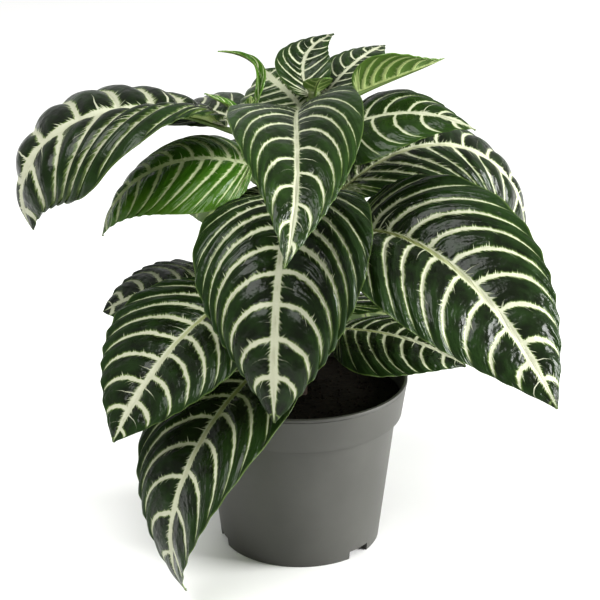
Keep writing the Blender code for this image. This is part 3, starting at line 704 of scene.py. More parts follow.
def add_centreline(tree, values):
    """Adds the midrib's curve from the stem to the tip, and the directions ahead, left and up along it."""
    values["index"] = add_node(tree, "GeometryNodeInputIndex").outputs[0]
    add_table(tree, "ShaderNodeMath", values, CENTRELINE)
    angles = add_node(
        tree, "ShaderNodeCombineXYZ", {"X": values["tilt"], "Y": values["dip"], "Z": values["turn"]}
    )
    for name, axis in (("ahead", (1, 0, 0)), ("left", (0, 1, 0)), ("up", (0, 0, 1))):
        turned = add_node(
            tree, "ShaderNodeVectorRotate", {"Vector": axis, "Rotation": angles},
            rotation_type="EULER_XYZ",
        )
        values[name] = turned.outputs[0]
    add_table(tree, "ShaderNodeVectorMath", values, [("stride", "ahead", ("*", "step"))])
    walked = add_node(
        tree, "GeometryNodeAccumulateField", {"Value": values["stride"]}, data_type="FLOAT_VECTOR"
    )
    values["walked"] = walked.outputs["Trailing"]
    add_table(tree, "ShaderNodeVectorMath", values, [("midrib", "walked", ("+", "Foot"))])
    line = add_node(tree, "GeometryNodeCurvePrimitiveLine", {"End": (0.0, 0.0, 1.0)})
    line = add_node(tree, "GeometryNodeResampleCurve", {"Curve": line, "Count": CURVE_STEPS + 1})
    line = add_node(tree, "GeometryNodeSetPosition", {"Geometry": line, "Position": values["midrib"]})
    return line.outputs[0]


def add_blade(tree, values, line):
    """Adds the blade's middle surface along the midrib, with the maps that its veins are drawn by."""
    grid = add_node(
        tree, "GeometryNodeMeshGrid",
        {"Size X": 1.0, "Size Y": 1.0, "Vertices X": values["Rows"], "Vertices Y": values["Columns"]},
    )
    position = add_node(tree, "GeometryNodeInputPosition")
    parts = add_node(tree, "ShaderNodeSeparateXYZ", {0: position})
    values.update(zip(("grid x", "grid y"), parts.outputs))
    for table in (BLADE, VEIN_NUMBER, HALF_WIDTH, FOLDING, VEIN_DISTANCES, RELIEF):
        add_table(tree, "ShaderNodeMath", values, table)
    surface = grid.outputs["Mesh"]
    for attribute, fields in LEAF_MAPS:
        packed = add_node(tree, "ShaderNodeCombineXYZ", {n: values[field] for n, field in enumerate(fields)})
        stored = add_node(
            tree, "GeometryNodeStoreNamedAttribute",
            {"Geometry": surface, "Name": attribute, "Value": packed},
            data_type="FLOAT_VECTOR", domain="POINT",
        )
        surface = stored.outputs[0]
    for name in ("left", "up"):
        sample = add_node(
            tree, "GeometryNodeSampleCurve",
            {"Curves": line, "Value": values[name], "Factor": values["along leaf"]},
            mode="FACTOR", data_type="FLOAT_VECTOR", use_all_curves=True,
        )
        values[name + " there"] = sample.outputs["Value"]
        values["rib there"] = sample.outputs["Position"]
    add_table(tree, "ShaderNodeVectorMath", values, [
        ("middle", "left there", ("*+", "out", "rib there"), ("*+", "up there", "over", "it")),
    ])
    moved = add_node(tree, "GeometryNodeSetPosition", {"Geometry": surface, "Position": values["middle"]})
    return moved.outputs[0]


def add_relief(tree, values, surface):
    """Adds the quilting and crumpling that move the blade's surface along its normals."""
    stored = add_node(
        tree, "GeometryNodeInputNamedAttribute", {"Name": "leaf_form"}, data_type="FLOAT_VECTOR"
    )
    form = add_node(tree, "ShaderNodeSeparateXYZ", {0: stored.outputs["Attribute"]})
    crumple = add_node(
        tree, "ShaderNodeTexNoise",
        {"W": values["Seed"], "Scale": CRUMPLE_SCALE, "Detail": CRUMPLE_DETAIL}, noise_dimensions="4D",
    )
    values["stored relief"] = form.outputs[0]
    values["crumple"] = crumple.outputs["Fac"]
    values["normal"] = add_node(tree, "GeometryNodeInputNormal").outputs[0]
    add_table(tree, "ShaderNodeMath", values, CRUMPLING)
    add_table(tree, "ShaderNodeVectorMath", values, [("shift", "normal", ("*", "shift up"))])
    moved = add_node(tree, "GeometryNodeSetPosition", {"Geometry": surface, "Offset": values["shift"]})
    return moved.outputs[0]


def add_tube(tree, path, radius, sides):
    """Adds a closed round tube along a curve."""
    profile = add_node(tree, "GeometryNodeCurvePrimitiveCircle", {"Resolution": sides, "Radius": 1.0})
    tube = add_node(
        tree, "GeometryNodeCurveToMesh",
        {"Curve": path, "Profile Curve": profile, "Scale": radius, "Fill Caps": True},
    )
    return tube.outputs[0]


def add_stalk(tree, values, line):
    """Adds the stalk as a tube along the midrib's curve, which runs on under the blade."""
    add_table(tree, "ShaderNodeMath", values, STALK)
    add_table(tree, "ShaderNodeVectorMath", values, [("sunk", "up", ("*", "sink"))])
    path = add_node(tree, "GeometryNodeSetPosition", {"Geometry": line, "Offset": values["sunk"]})
    tube = add_tube(tree, path.outputs[0], values["stalk size"], STALK_SIDES)
    marked = add_node(
        tree, "GeometryNodeStoreNamedAttribute", {"Geometry": tube, "Name": "is_stalk", "Value": True},
        data_type="BOOLEAN", domain="FACE",
    )
    return marked.outputs[0]


def leaf_tree():
    """The tree that grows any of the leaves from its measures."""
    tree, values = new_tree("Zebra leaf", LEAF_INPUTS)
    line = add_centreline(tree, values)
    surface = add_relief(tree, values, add_blade(tree, values, line))
    upper = add_node(
        tree, "GeometryNodeExtrudeMesh",
        {"Mesh": surface, "Offset Scale": values["Thickness"], "Individual": False}, mode="FACES",
    )
    lower = add_node(tree, "GeometryNodeFlipFaces", {"Mesh": surface})
    shell = add_node(tree, "GeometryNodeJoinGeometry", {"Geometry": [upper, lower]})
    closed = add_node(tree, "GeometryNodeMergeByDistance", {"Geometry": shell, "Distance": WELD})
    waxy = add_node(
        tree, "FunctionNodeBooleanMath", {0: upper.outputs["Top"], 1: upper.outputs["Side"]}, operation="OR"
    )
    is_stalk = add_node(
        tree, "GeometryNodeInputNamedAttribute", {"Name": "is_stalk"}, data_type="BOOLEAN"
    )
    end_tree(tree, [closed, add_stalk(tree, values, line)], (
        (True, values["Lower face"]),
        (waxy, values["Upper face"]),
        (is_stalk.outputs["Attribute"], values["Stalk"]),
    ))
    return tree


def stem_axis(height):
    """Place of the main stem's axis at a height."""
    rise = max(0.0, (height - SOIL_TOP) / STEM_LEAN_SPAN)
    return np.array((STEM_LEAN_RIGHT * rise ** STEM_LEAN_POWER, STEM_LEAN_BACK * rise, height))


def stem_radius(height):
    """Radius of the main stem at a height, thicker at the foot."""
    rise = max(0.0, (height - SOIL_TOP) / (STEM_TOP - SOIL_TOP))
    return STEM_FOOT_RADIUS + (STEM_TIP_RADIUS - STEM_FOOT_RADIUS) * rise


def leaf_foot(plan):
    """Where a leaf's stalk meets the stem."""
    azimuth = math.radians(plan["azimuth"])
    outward = np.array((math.cos(azimuth), math.sin(azimuth), 0.0))
    if plan["root"] is None:
        return stem_axis(plan["node"]) + (stem_radius(plan["node"]) + LEAF_GAP) * outward
    root = np.array(plan["root"][:2] + (plan["node"],))
    return root + (plan["root_radius"] + LEAF_GAP) * outward


def leaf_inputs(plan, seed, settings, materials):
    """The leaf tree's inputs for one leaf, by name."""
    size = plan["width"] / GROWN_WIDTH
    columns = 2 * round(plan["width"] / COLUMN_WIDTH / 2) + 1
    inputs = {input_name(key): math.radians(plan[key]) for key in LEAF_ANGLES}
    inputs |= {input_name(key): float(plan[key]) for key in LEAF_MEASURES}
    return inputs | materials | {
        "Foot": tuple(leaf_foot(plan)),
        "Vein scale": MILLIMETRES * size ** -0.5 / plan["vein_size"],
        "Seed": SEED_STEP * seed,
        "Rows": max(FEWEST_ROWS, round(plan["length"] / ROW_LENGTH)),
        "Columns": max(FEWEST_COLUMNS, columns),
        "Thickness": settings.thickness,
        "Stalk radius": settings.stalk_radius * min(1.0, max(PETIOLE_SLIMMEST, 2 * size)),
        "Quilt height": settings.quilt_height * size * plan["quilt"],
        "Margin wave": settings.margin_wave * size,
        "Crumple": settings.crumple * size,
    }


# Leaf finish: distance in millimetres from the nearest side vein, and where its teeth stand
SIDE_VEIN = (
    ("vein", "mottle", ("-", 0.5), ("*+", VEIN_WANDER, "vein")),
    ("nearest", "vein", "ROUND"),
    ("offset", "vein", ("-", "nearest")),
    ("apart", "offset", "ABSOLUTE", ("*", "gap")),
    ("reach", "side", "ABSOLUTE"),
    ("half", "side", "SIGN"),
    ("flank", "offset", "SIGN"),
    ("lane", "nearest", ("*+", LANE_VEIN, "Seed"), ("*+", "flank", LANE_FLANK, "it"),
     ("*+", "half", LANE_HALF, "it"), ("*", LANE_SPREAD)),
    ("tooth way", "apart", ("*+", TOOTH_LEAN, "along"), ("/", TOOTH_SPACING), ("+", "lane")),
    ("rib lane", "half", ("*+", RIB_LANE_HALF, "Seed"), ("*", RIB_LANE_SPREAD)),
    ("rib tooth way", "from rib", ("*+", RIB_TOOTH_LEAN, "rib way"), ("/", RIB_TOOTH_SPACING),
     ("+", "rib lane")),
)

# Leaf finish: how far a point lies inside a side vein with its teeth. What follows a gap or an inside
# is in millimetres, and what follows a place or a reach is a share of the blade.
SIDE_VEIN_MASK = (
    ("needle", "tooth chance", ramp(0.95, 1.0)),
    ("tooth length", "tooth chance", ("^", TOOTH_POWER), ("*", TOOTH_LENGTH),
     ("*+", "needle", NEEDLE_LENGTH, "it")),
    ("room", "gap", ramp(2.0, 7.0)),
    ("inwards", "reach", ramp(1.0625, 0.4375)),
    ("tooth", "tooth distance", ramp(TOOTH_HALF, 0.0), ("*", "tooth length"), ("*", "room"),
     ("*", "inwards")),
    ("vein limit", "gap", ("*+", VEIN_GAP_SHARE, VEIN_GAP_LEAST)),
    ("lobe slimming", "place", ramp(-0.075, 0.05)),
    ("uneven", "grain", ("*+", 1.2, 0.4)),
    ("vein end", "reach", ramp(0.9643, 0.8929)),
    ("vein foot", "place", ramp(0.002, 0.003)),
    ("vein head", "place", ramp(0.95, 0.93)),
    ("vein half", "reach", ("*+", VEIN_HALF_FALL, VEIN_HALF_SLOPE), ("*+", "reach", VEIN_HALF),
     ("MAXIMUM", VEIN_HALF_LEAST), ("*", "lobe slimming"), ("MINIMUM", "vein limit"), ("*", "uneven"),
     ("+", "tooth"), ("*", "vein end"), ("*", "vein foot"), ("*", "vein head")),
    ("vein inside", "vein half", ("-", "apart")),
    ("vein core", "vein inside", ramp(-0.0857, 0.2)),
    ("vein fringe", "vein inside", ramp(-0.8182, 0.0909), ("*", "vein end")),
)

# Leaf finish: the same for the midrib, which is widest near the tip and ends in a point
MIDRIB_MASK = (
    ("rib tooth length", "rib tooth chance", ("^", RIB_TOOTH_POWER), ("*", RIB_TOOTH_LENGTH)),
    ("rib tooth", "rib tooth distance", ramp(RIB_TOOTH_HALF, 0.0), ("*", "rib tooth length")),
    ("rib end", "place", ramp(1.0, 0.8333)),
    ("rib inside", "place", ("*+", RIB_HALF_FALL, RIB_HALF_SLOPE), ("*+", "place", RIB_HALF),
     ("+", "rib tooth"), ("*", "rib end"), ("-", "from rib")),
    ("rib core", "rib inside", ramp(-0.1143, 0.1714)),
    ("rib fringe", "rib inside", ramp(-0.8182, 0.0909)),
)

# Leaf finish: short thin veins that start from the midrib halfway between two side veins
BETWEEN = (
    ("between", "vein", ("+", 0.5)),
    ("between nearest", "between", "ROUND"),
    ("between apart", "between", ("-", "between nearest"), "ABSOLUTE", ("*", "gap")),
)
SHORT_VEIN_MASK = (
    ("short limit", "gap", ("*", SHORT_GAP_SHARE)),
    ("short core", "short chance", ("*+", SHORT_RANGE, SHORT_SHORTEST), ("-", "along"), ramp(0.0, 12.5),
     ("*", SHORT_HALF), ("MINIMUM", "short limit"), ("-", "between apart"), ramp(0.0, 0.25)),
)

# Upper face: cream where any vein is, and how green, raised and rough the blade is between them, with painted
# light that makes the crests between veins greener and leaves the valleys at the veins darker
UPPER_FACE = (
    ("core", "vein core", ("MAXIMUM", "rib core"), ("MAXIMUM", "short core")),
    ("fringe", "vein fringe", ("MAXIMUM", "rib fringe"), ("*", FRINGE_STRENGTH)),
    # Painted highlight and shade: the crests of the quilting are tinted greener, and the valleys at the veins
    # stay darker
    ("crest", "vein", ("*", math.pi), "SINE", "ABSOLUTE"),
    ("streak", "folds", ("-", 0.5), ("*", STREAKING)),
    ("uneven green", "mottle", ("-", 0.5)),
    ("greener", "reach", ("^", GREEN_POWER), ("*+", "crest", CREST_PAINTED_LIGHT, "it"), ("+", "streak"),
     ("*+ clamped", "uneven green", MOTTLING, "it")),
    ("rib middle", "from rib", ramp(1.7, 1.2)),
    ("old core", "place", ("*+", OLD_RIB_FADE, OLD_RIB_START), ("* clamped", "Old rib"),
     ("*", "rib middle")),
    ("margin line", "reach", ramp(0.98, 0.9967), ("*", MARGIN_LINE)),
    ("height", "core", ("*+", CREAM_HEIGHT, "lumps"), ("*+", "folds", FOLD_HEIGHT, "it")),
    ("gloss", "core", ("*+", CREAM_ROUGHER, BLADE_ROUGHNESS),
     ("*+", "uneven green", MOTTLE_ROUGHER, "it")),
)
UPPER_BLENDS = (
    ("inner", "Tone", "young_green", "dark_green"),
    ("outer", "Tone", "young_margin", "margin_green"),
    ("cream", "Tone", "young_vein", "vein_cream"),
    # The blend towards the outer green also carries the painted light on the crests
    ("colour", "greener", "inner", "outer"),
    ("colour", "margin line", "colour", "vein_edge"),
    ("colour", "fringe", "colour", "vein_edge"),
    ("colour", "core", "colour", "cream"),
    ("colour", "old core", "colour", "old_rib"),
)

# Lower face: raised veins with soft edges, on a blade that is lighter while it is young
LOWER_FACE = (
    ("core", "vein fringe", ("MAXIMUM", "rib fringe")),
    ("light", 1.0, ("-", "Tone"), ("*", YOUNG_LIGHTER)),
    ("height", "core", ("*+", UNDER_VEIN_HEIGHT, "grain")),
)
LOWER_BLENDS = (
    ("colour", "light", "underside", "young_margin"),
    ("colour", "core", "colour", "under_vein"),
)

# Noise over a blade, per metre: colour patches 11 mm across, lumps 6 mm across and grain 3 mm across
BLADE_NOISES = (("mottle", 90.0, 2.0), ("lumps", 170.0, 2.0), ("grain", 300.0, 2.0))


def add_veins(tree, values):
    """Adds the masks of the side veins, the midrib and the short veins between, from the stored maps."""
    for attribute, fields in LEAF_MAPS:
        stored = add_node(tree, "ShaderNodeAttribute", attribute_name=attribute)
        parts = add_node(tree, "ShaderNodeSeparateXYZ", {0: stored.outputs["Vector"]})
        values.update(zip(fields, parts.outputs))
    add_table(tree, "ShaderNodeMath", values, SIDE_VEIN)
    for name in ("tooth", "rib tooth"):
        cells = add_node(
            tree, "ShaderNodeTexVoronoi",
            {"W": values[name + " way"], "Scale": 1.0, "Randomness": TOOTH_RANDOMNESS},
            voronoi_dimensions="1D",
        )
        chance = add_node(tree, "ShaderNodeSeparateColor", {0: cells.outputs["Color"]})
        values[name + " distance"] = cells.outputs["Distance"]
        values[name + " chance"] = chance.outputs[0]
    for table in (SIDE_VEIN_MASK, MIDRIB_MASK, BETWEEN):
        add_table(tree, "ShaderNodeMath", values, table)
    lane = add_node(
        tree, "ShaderNodeCombineXYZ", {0: values["between nearest"], 1: values["half"], 2: values["Seed"]}
    )
    chance = add_node(tree, "ShaderNodeTexWhiteNoise", {"Vector": lane}, noise_dimensions="3D")
    values["short chance"] = chance.outputs["Value"]
    add_table(tree, "ShaderNodeMath", values, SHORT_VEIN_MASK)


def upper_face_material(settings):
    """Waxy upper face of a zebra leaf: dark green, toothed cream veins, a soft broken gloss, and painted
    light on the crests between veins.
    """
    material, tree, shader, values = new_material("Waxy zebra leaf, upper face", BLADE_NOISES)
    add_veins(tree, values)
    lane = add_node(tree, "ShaderNodeCombineXYZ", {0: values["vein"], 1: values["side"], 2: values["Seed"]})
    # Folds that run along the veins break up the gloss, with the lumps
    folds = add_node(tree, "ShaderNodeTexNoise", {"Vector": lane, "Scale": FOLD_SCALE, "Detail": 2.0})
    values["folds"] = folds.outputs["Fac"]
    add_table(tree, "ShaderNodeMath", values, UPPER_FACE)
    finish(
        tree, shader, values, settings, UPPER_BLENDS, ("height", 0.7, 0.0010),
        {"Roughness": values["gloss"], "IOR": 1.42, "Specular IOR Level": 0.26},
    )
    return material


def lower_face_material(settings):
    """Matt lower face of a zebra leaf: pale green with raised, paler veins."""
    material, tree, shader, values = new_material("Matt zebra leaf, lower face", BLADE_NOISES)
    add_veins(tree, values)
    add_table(tree, "ShaderNodeMath", values, LOWER_FACE)
    finish(tree, shader, values, settings, LOWER_BLENDS, ("height", 0.6, 0.0006), {"Roughness": 0.5})
    return material


def stalk_material(settings):
    """Fleshy leaf stalk: green with a purple flush in patches 22 mm across, and a fine satin grain."""
    material, tree, shader, values = new_material(
        "Fleshy leaf stalk", (("patches", 45.0, 2.0), ("grain", 900.0, 2.0))
    )
    add_table(tree, "ShaderNodeMath", values, [("flush", "patches", ramp(0.4091, 0.8636))])
    blends = [("colour", "flush", "stalk_green", "stalk_purple")]
    finish(tree, shader, values, settings, blends, ("grain", 0.3, 0.0003), {"Roughness": 0.42})
    return material


def stem_tree():
    """The tree that gives the stem's guide lines their thickness, swollen at the nodes."""
    tree, values = new_tree("Zebra plant stem", (
        ("Geometry", "Geometry"), ("Node swelling", "Float"), ("Sides", "Int"), ("Bark", "Material"),
    ))
    for name in ("radius", "swelling"):
        stored = add_node(tree, "GeometryNodeInputNamedAttribute", {"Name": name}, data_type="FLOAT")
        values[name] = stored.outputs["Attribute"]
    add_table(tree, "ShaderNodeMath", values, [("swollen", "swelling", ("*+", "Node swelling", "radius"))])
    path = add_node(tree, "GeometryNodeMeshToCurve", {"Mesh": values["Geometry"]})
    tube = add_tube(tree, path.outputs[0], values["swollen"], values["Sides"])
    end_tree(tree, [tube], [(True, values["Bark"])])
    return tree


def stem_guide():
    """Guide lines of the main stem and the side shoot, with their radius and swelling at each point."""
    nodes = {plan["node"] for plan in LEAVES if plan["root"] is None} | {SHOOT_NODE}
    top = STEM_TOP + BUD_HEIGHT
    heights = np.linspace(STEM_FOOT, top, STEM_POINTS)
    places = [stem_axis(height) for height in heights]
    bud = np.clip((top - heights) / BUD_HEIGHT, BUD_TIP, 1.0) ** 0.5
    radii = [stem_radius(height) * share for height, share in zip(heights, bud)]
    swellings = [
        share * max(math.exp(-((height - node) / NODE_REACH) ** 2) for node in nodes)
        for height, share in zip(heights, bud)
    ]
    start = stem_axis(SHOOT_NODE)
    corner = np.array((*SHOOT_TIP[:2], SHOOT_NODE + SHOOT_RISE))
    end = np.array(SHOOT_TIP)
    steps = np.linspace(0.0, 1.0, SHOOT_POINTS)
    places += [start * (1 - t) ** 2 + 2 * corner * t * (1 - t) + end * t ** 2 for t in steps]
    radii += [SHOOT_RADIUS * (1 - SHOOT_TAPER * t ** 8) for t in steps]
    swellings += [SHOOT_SWELLING * t ** 6 * (1 - t ** 30) for t in steps]
    edges = [(n, n + 1) for n in range(len(places) - 1) if n != STEM_POINTS - 1]
    mesh = new_mesh("stem_guide", [tuple(place) for place in places], edges)
    for name, numbers in (("radius", radii), ("swelling", swellings)):
        mesh.attributes.new(name, "FLOAT", "POINT").data.foreach_set("value", numbers)
    return mesh


def stem_material(settings):
    """Corky stem: brown bark at the foot and green skin above, in 6 mm patches, with rings 2.4 mm apart."""
    material, tree, shader, values = new_material("Corky green stem", [("patches", 160.0, 4.0)])
    place = add_node(tree, "ShaderNodeTexCoord").outputs["Object"]
    values["height"] = add_node(tree, "ShaderNodeSeparateXYZ", {0: place}).outputs[2]
    add_table(tree, "ShaderNodeMath", values, (
        ("youth", "height", ("*+", GREENING, "patches"), ("- clamped", GREEN_START)),
        ("relief", "height", ("*", RING_TURNS), "SINE", ("*+", RING_HEIGHT, "patches")),
    ))
    blends = [("colour", "youth", "stem_brown", "stem_green")]
    finish(tree, shader, values, settings, blends, ("relief", 0.6, 0.0006), {"Roughness": 0.6})
    return material


def turned_mesh(name, profile, sides):
    """Turns a profile of (radius, height) points about Z with a Screw modifier, as a plain object."""
    points = [(radius, 0.0, height) for radius, height in profile]
    turned = new_object(name, new_mesh(name, points, [(n, n + 1) for n in range(len(points) - 1)]))
    screw = turned.modifiers.new("Turn", "SCREW")
    screw.steps = sides
    screw.render_steps = sides
    screw.use_merge_vertices = True
    screw.merge_threshold = WELD
    return plain_copy(turned, name)


def pot_outer_radius(height):
    """Radius of the tapered body's outer face, without the rim band."""
    rise = height / (POT_HEIGHT - POT_BAND_HEIGHT)
    return POT_BASE_RADIUS + (POT_SHOULDER_RADIUS - POT_BASE_RADIUS) * rise


def pot_profile():
    """The wall's section, from the middle of the floor up the inside, over the lip and down the outside."""
    band_foot = POT_HEIGHT - POT_BAND_HEIGHT
    lip_foot = POT_HEIGHT - LIP_HEIGHT
    lip_inside = POT_RIM_RADIUS - POT_LIP
    ease = POT_EDGE_EASE
    cut = CORNER_CUT * ease
    return [
        (0.0, POT_FLOOR),
        (pot_outer_radius(POT_FLOOR) - POT_WALL, POT_FLOOR),
        (POT_SHOULDER_RADIUS - POT_WALL, band_foot - SHOULDER_DROP),
        (POT_BAND_FOOT_RADIUS - POT_WALL, band_foot + SHOULDER_DROP),
        (lip_inside, lip_foot),
        (lip_inside + cut, POT_HEIGHT - cut),
        (lip_inside + ease, POT_HEIGHT),
        (POT_RIM_RADIUS - ease, POT_HEIGHT),
        (POT_RIM_RADIUS - cut, POT_HEIGHT - cut),
        (POT_RIM_RADIUS, POT_HEIGHT - ease),
        (POT_RIM_RADIUS, lip_foot + LIP_EDGE),
        (POT_RIM_RADIUS - GROOVE_DEPTH, lip_foot),
        (POT_RIM_RADIUS - GROOVE_DEPTH, lip_foot - GROOVE_WIDTH),
        (POT_RIM_RADIUS - BAND_SETBACK, lip_foot - 2 * GROOVE_WIDTH),
        (POT_BAND_FOOT_RADIUS, band_foot + ease),
        (POT_BAND_FOOT_RADIUS - cut, band_foot + cut),
        (POT_BAND_FOOT_RADIUS - ease, band_foot),
        (POT_SHOULDER_RADIUS + ease, band_foot),
        (POT_SHOULDER_RADIUS, band_foot - ease),
        *[(POT_BASE_RADIUS + outwards, height) for outwards, height in FOOT_ROUNDING],
        (0.0, 0.0),
    ]


def pocket_block(name, angle, end_radius, spread, foot, head):
    """A block at one drain pocket, wider by spread all round, whose outer end is an arc at end_radius."""
    half = POCKET_WIDTH / 2 + spread
    inner = POT_BASE_RADIUS - POCKET_DEPTH - spread
    reach = math.asin(half / end_radius)
    arc = [reach * (2 * step / (POCKET_ARC_POINTS - 1) - 1) for step in range(POCKET_ARC_POINTS)]
    outline = [(inner, half), (inner, -half)]
    outline += [(end_radius * math.cos(turn), end_radius * math.sin(turn)) for turn in arc]
    return prism(name, angle, outline, foot, head)


def drain_peg(angle):
    """A peg for the drain hole in a pocket's roof."""
    middle = POT_BASE_RADIUS - POCKET_DEPTH / 2
    turns = [2 * math.pi * side / DRAIN_SIDES for side in range(DRAIN_SIDES)]
    outline = [(middle + DRAIN_RADIUS * math.cos(turn), DRAIN_RADIUS * math.sin(turn)) for turn in turns]
    return prism(f"drain_{angle}", angle, outline, POCKET_HEIGHT - POT_FLOOR, POCKET_HEIGHT + 2 * POT_FLOOR)


def prism(name, angle, outline, foot, head):
    """A block that stands on an outline, turned about Z by an angle in degrees."""
    cosine, sine = math.cos(math.radians(angle)), math.sin(math.radians(angle))
    corners = [(x * cosine - y * sine, x * sine + y * cosine) for x, y in outline]
    count = len(corners)
    points = [(x, y, height) for height in (foot, head) for x, y in corners]
    faces = [tuple(reversed(range(count))), tuple(range(count, 2 * count))]
    faces += [(n, (n + 1) % count, (n + 1) % count + count, n + count) for n in range(count)]
    return new_object(name, new_mesh(name, points, faces=faces))


def carve(obj, name, steps):
    """A plain copy of an object after Boolean steps of (operation, block). All of them are used up."""
    for operation, block in steps:
        boolean = obj.modifiers.new(block.name, "BOOLEAN")
        boolean.operation = operation
        boolean.solver = "EXACT"
        boolean.object = block
    carved = plain_copy(obj, name)
    for _, block in steps:
        bpy.data.objects.remove(block, do_unlink=True)
    return carved


def pot_material(settings):
    """Injection-moulded grey polypropylene: matt, with a fine pebbled skin and faint rubbed patches."""
    # Patches are 36 mm across, and the pebbles are drawn 0.5 mm across so that they show
    material, tree, shader, values = new_material(
        "Moulded grey polypropylene", (("patches", 28.0, 5.0), ("pebbles", 2200.0, 2.0))
    )
    add_table(tree, "ShaderNodeMath", values, (
        ("scuff", "patches", ramp(0.3958, 0.8125)),
        ("gloss", "patches", ("*+", 0.12, 0.46)),
    ))
    finish(
        tree, shader, values, settings, [("colour", "scuff", "plastic_grey", "scuff_grey")],
        ("pebbles", 0.25, 0.0002), {"Roughness": values["gloss"], "IOR": 1.49},
    )
    return material


def soil_profile():
    """The plug's section: from the middle out over the top, down beside the pot's wall and back in."""
    bottom = POT_FLOOR + GAP
    band_foot = POT_HEIGHT - POT_BAND_HEIGHT
    clear = POT_WALL + 2 * GAP
    edge_height = SOIL_TOP - SOIL_EDGE_DROP
    band_slope = (POT_RIM_RADIUS - POT_BAND_FOOT_RADIUS) / POT_BAND_HEIGHT
    edge = POT_BAND_FOOT_RADIUS + band_slope * (edge_height - band_foot) - clear - GAP
    return [
        *[(edge * ring / SOIL_RINGS, SOIL_TOP) for ring in range(SOIL_RINGS)],
        (edge, edge_height),
        (POT_BAND_FOOT_RADIUS - clear, band_foot + SHOULDER_DROP + GAP),
        (POT_SHOULDER_RADIUS - clear, band_foot - SHOULDER_DROP + GAP),
        (pot_outer_radius(bottom) - clear, bottom),
        (0.0, bottom),
    ]


# Soil tree: lumps raise the top of the plug, less towards the pot's wall
SOIL_LUMPS = (
    ("from axis", "x", ("*", "x"), ("*+", "y", "y", "it"), "SQRT"),
    ("inward", "Edge radius", ("-", "from axis"), ("/ clamped", LUMP_FADE)),
    ("on top", "z", ("GREATER_THAN", SOIL_TOP - SOIL_TOP_DEPTH)),
    ("lump", "coarse", ("+", "fine"), ("-", 1.0), ("*", "Lump height"), ("*", "inward"), ("*", "on top")),
    ("strewn", "Edge radius", ("-", CRUMB_CLEARANCE), ("LESS_THAN", "from axis", "it"), ("*", "on top")),
    ("smallest", "Crumb radius", ("*", CRUMB_SMALLEST)),
)


def soil_tree():
    """The tree that roughens the top of the soil and strews crumbs over it."""
    tree, values = new_tree("Potting soil", (
        ("Geometry", "Geometry"), ("Edge radius", "Float"), ("Lump height", "Float"),
        ("Crumb radius", "Float"), ("Crumbs per square metre", "Float"), ("Seed", "Int"),
        ("Soil", "Material"),
    ))
    position = add_node(tree, "GeometryNodeInputPosition").outputs[0]
    parts = add_node(tree, "ShaderNodeSeparateXYZ", {0: position})
    values.update(zip("xyz", parts.outputs))
    for name, scale in LUMP_NOISES:
        noise = add_node(
            tree, "ShaderNodeTexNoise", {"Vector": position, "Scale": scale, "Detail": LUMP_DETAIL}
        )
        values[name] = noise.outputs["Fac"]
    add_table(tree, "ShaderNodeMath", values, SOIL_LUMPS)
    strewn = add_node(
        tree, "GeometryNodeDistributePointsOnFaces",
        {"Mesh": values["Geometry"], "Selection": values["strewn"],
         "Density": values["Crumbs per square metre"], "Seed": values["Seed"]},
    )
    rise = add_node(tree, "ShaderNodeCombineXYZ", {"Z": values["lump"]})
    lumpy, settled = (
        add_node(tree, "GeometryNodeSetPosition", {"Geometry": geometry, "Offset": rise})
        for geometry in (values["Geometry"], strewn.outputs["Points"])
    )
    for name, kind, least, most in (
        ("size", "FLOAT", values["smallest"], values["Crumb radius"]),
        ("turn", "FLOAT_VECTOR", (0.0, 0.0, 0.0), (CRUMB_TURN, CRUMB_TURN, CRUMB_TURN)),
        ("shape", "FLOAT_VECTOR", CRUMB_SLIMMEST, CRUMB_FULLEST),
    ):
        limits = {"Min": least, "Max": most, "Seed": values["Seed"]}
        drawn = add_node(tree, "FunctionNodeRandomValue", limits, data_type=kind)
        values[name] = drawn.outputs["Value"]
    add_table(tree, "ShaderNodeVectorMath", values, [("scale", "shape", ("*", "size"))])
    crumb = add_node(tree, "GeometryNodeMeshIcoSphere", {"Radius": 1.0, "Subdivisions": 1})
    crumbs = add_node(
        tree, "GeometryNodeInstanceOnPoints",
        {"Points": settled, "Instance": crumb.outputs["Mesh"], "Rotation": values["turn"],
         "Scale": values["scale"]},
    )
    end_tree(tree, [lumpy, crumbs], [(True, values["Soil"])])
    return tree


def soil_material(settings):
    """Moist peat potting soil: almost black, dull and crumbly, with paler fibres 2 mm across."""
    material, tree, shader, values = new_material(
        "Moist peat soil", (("fibres", 420.0, 6.0), ("grain", 1100.0, 4.0))
    )
    add_table(tree, "ShaderNodeMath", values, [("pale", "fibres", ramp(0.4531, 0.7656))])
    finish(
        tree, shader, values, settings, [("colour", "pale", "soil_dark", "soil_light")],
        ("grain", 0.9, 0.0006), {"Roughness": 0.9, "Specular IOR Level": 0.2},
    )
    return material


class ZEBRA_OT_pot(bpy.types.Operator):
    """Make the nursery pot"""

    bl_idname = "zebra.make_pot"
    bl_label = "Nursery pot"

    def execute(self, context):
        settings = context.scene.zebra_pot
        wall_middle = POT_BASE_RADIUS - POT_WALL / 3
        outside = POT_BASE_RADIUS + POT_WALL
        roof = POCKET_HEIGHT + POT_FLOOR
        turned = turned_mesh("pot_turned", pot_profile(), settings.sides)
        steps = []
        for angle in POCKET_ANGLES:
            shell = pocket_block(f"shell_{angle}", angle, wall_middle, POT_WALL, 0.0, roof)
            hollow = pocket_block(f"hollow_{angle}", angle, outside, 0.0, -GAP, POCKET_HEIGHT)
            steps += [("UNION", shell), ("DIFFERENCE", hollow), ("DIFFERENCE", drain_peg(angle))]
        pot = carve(turned, "nursery_pot", steps)
        pot.data.materials.clear()
        pot.data.materials.append(pot_material(settings))
        pot.data.shade_smooth()
        dress(pot, "pot", POT_SHARP_ANGLE)
        return {"FINISHED"}


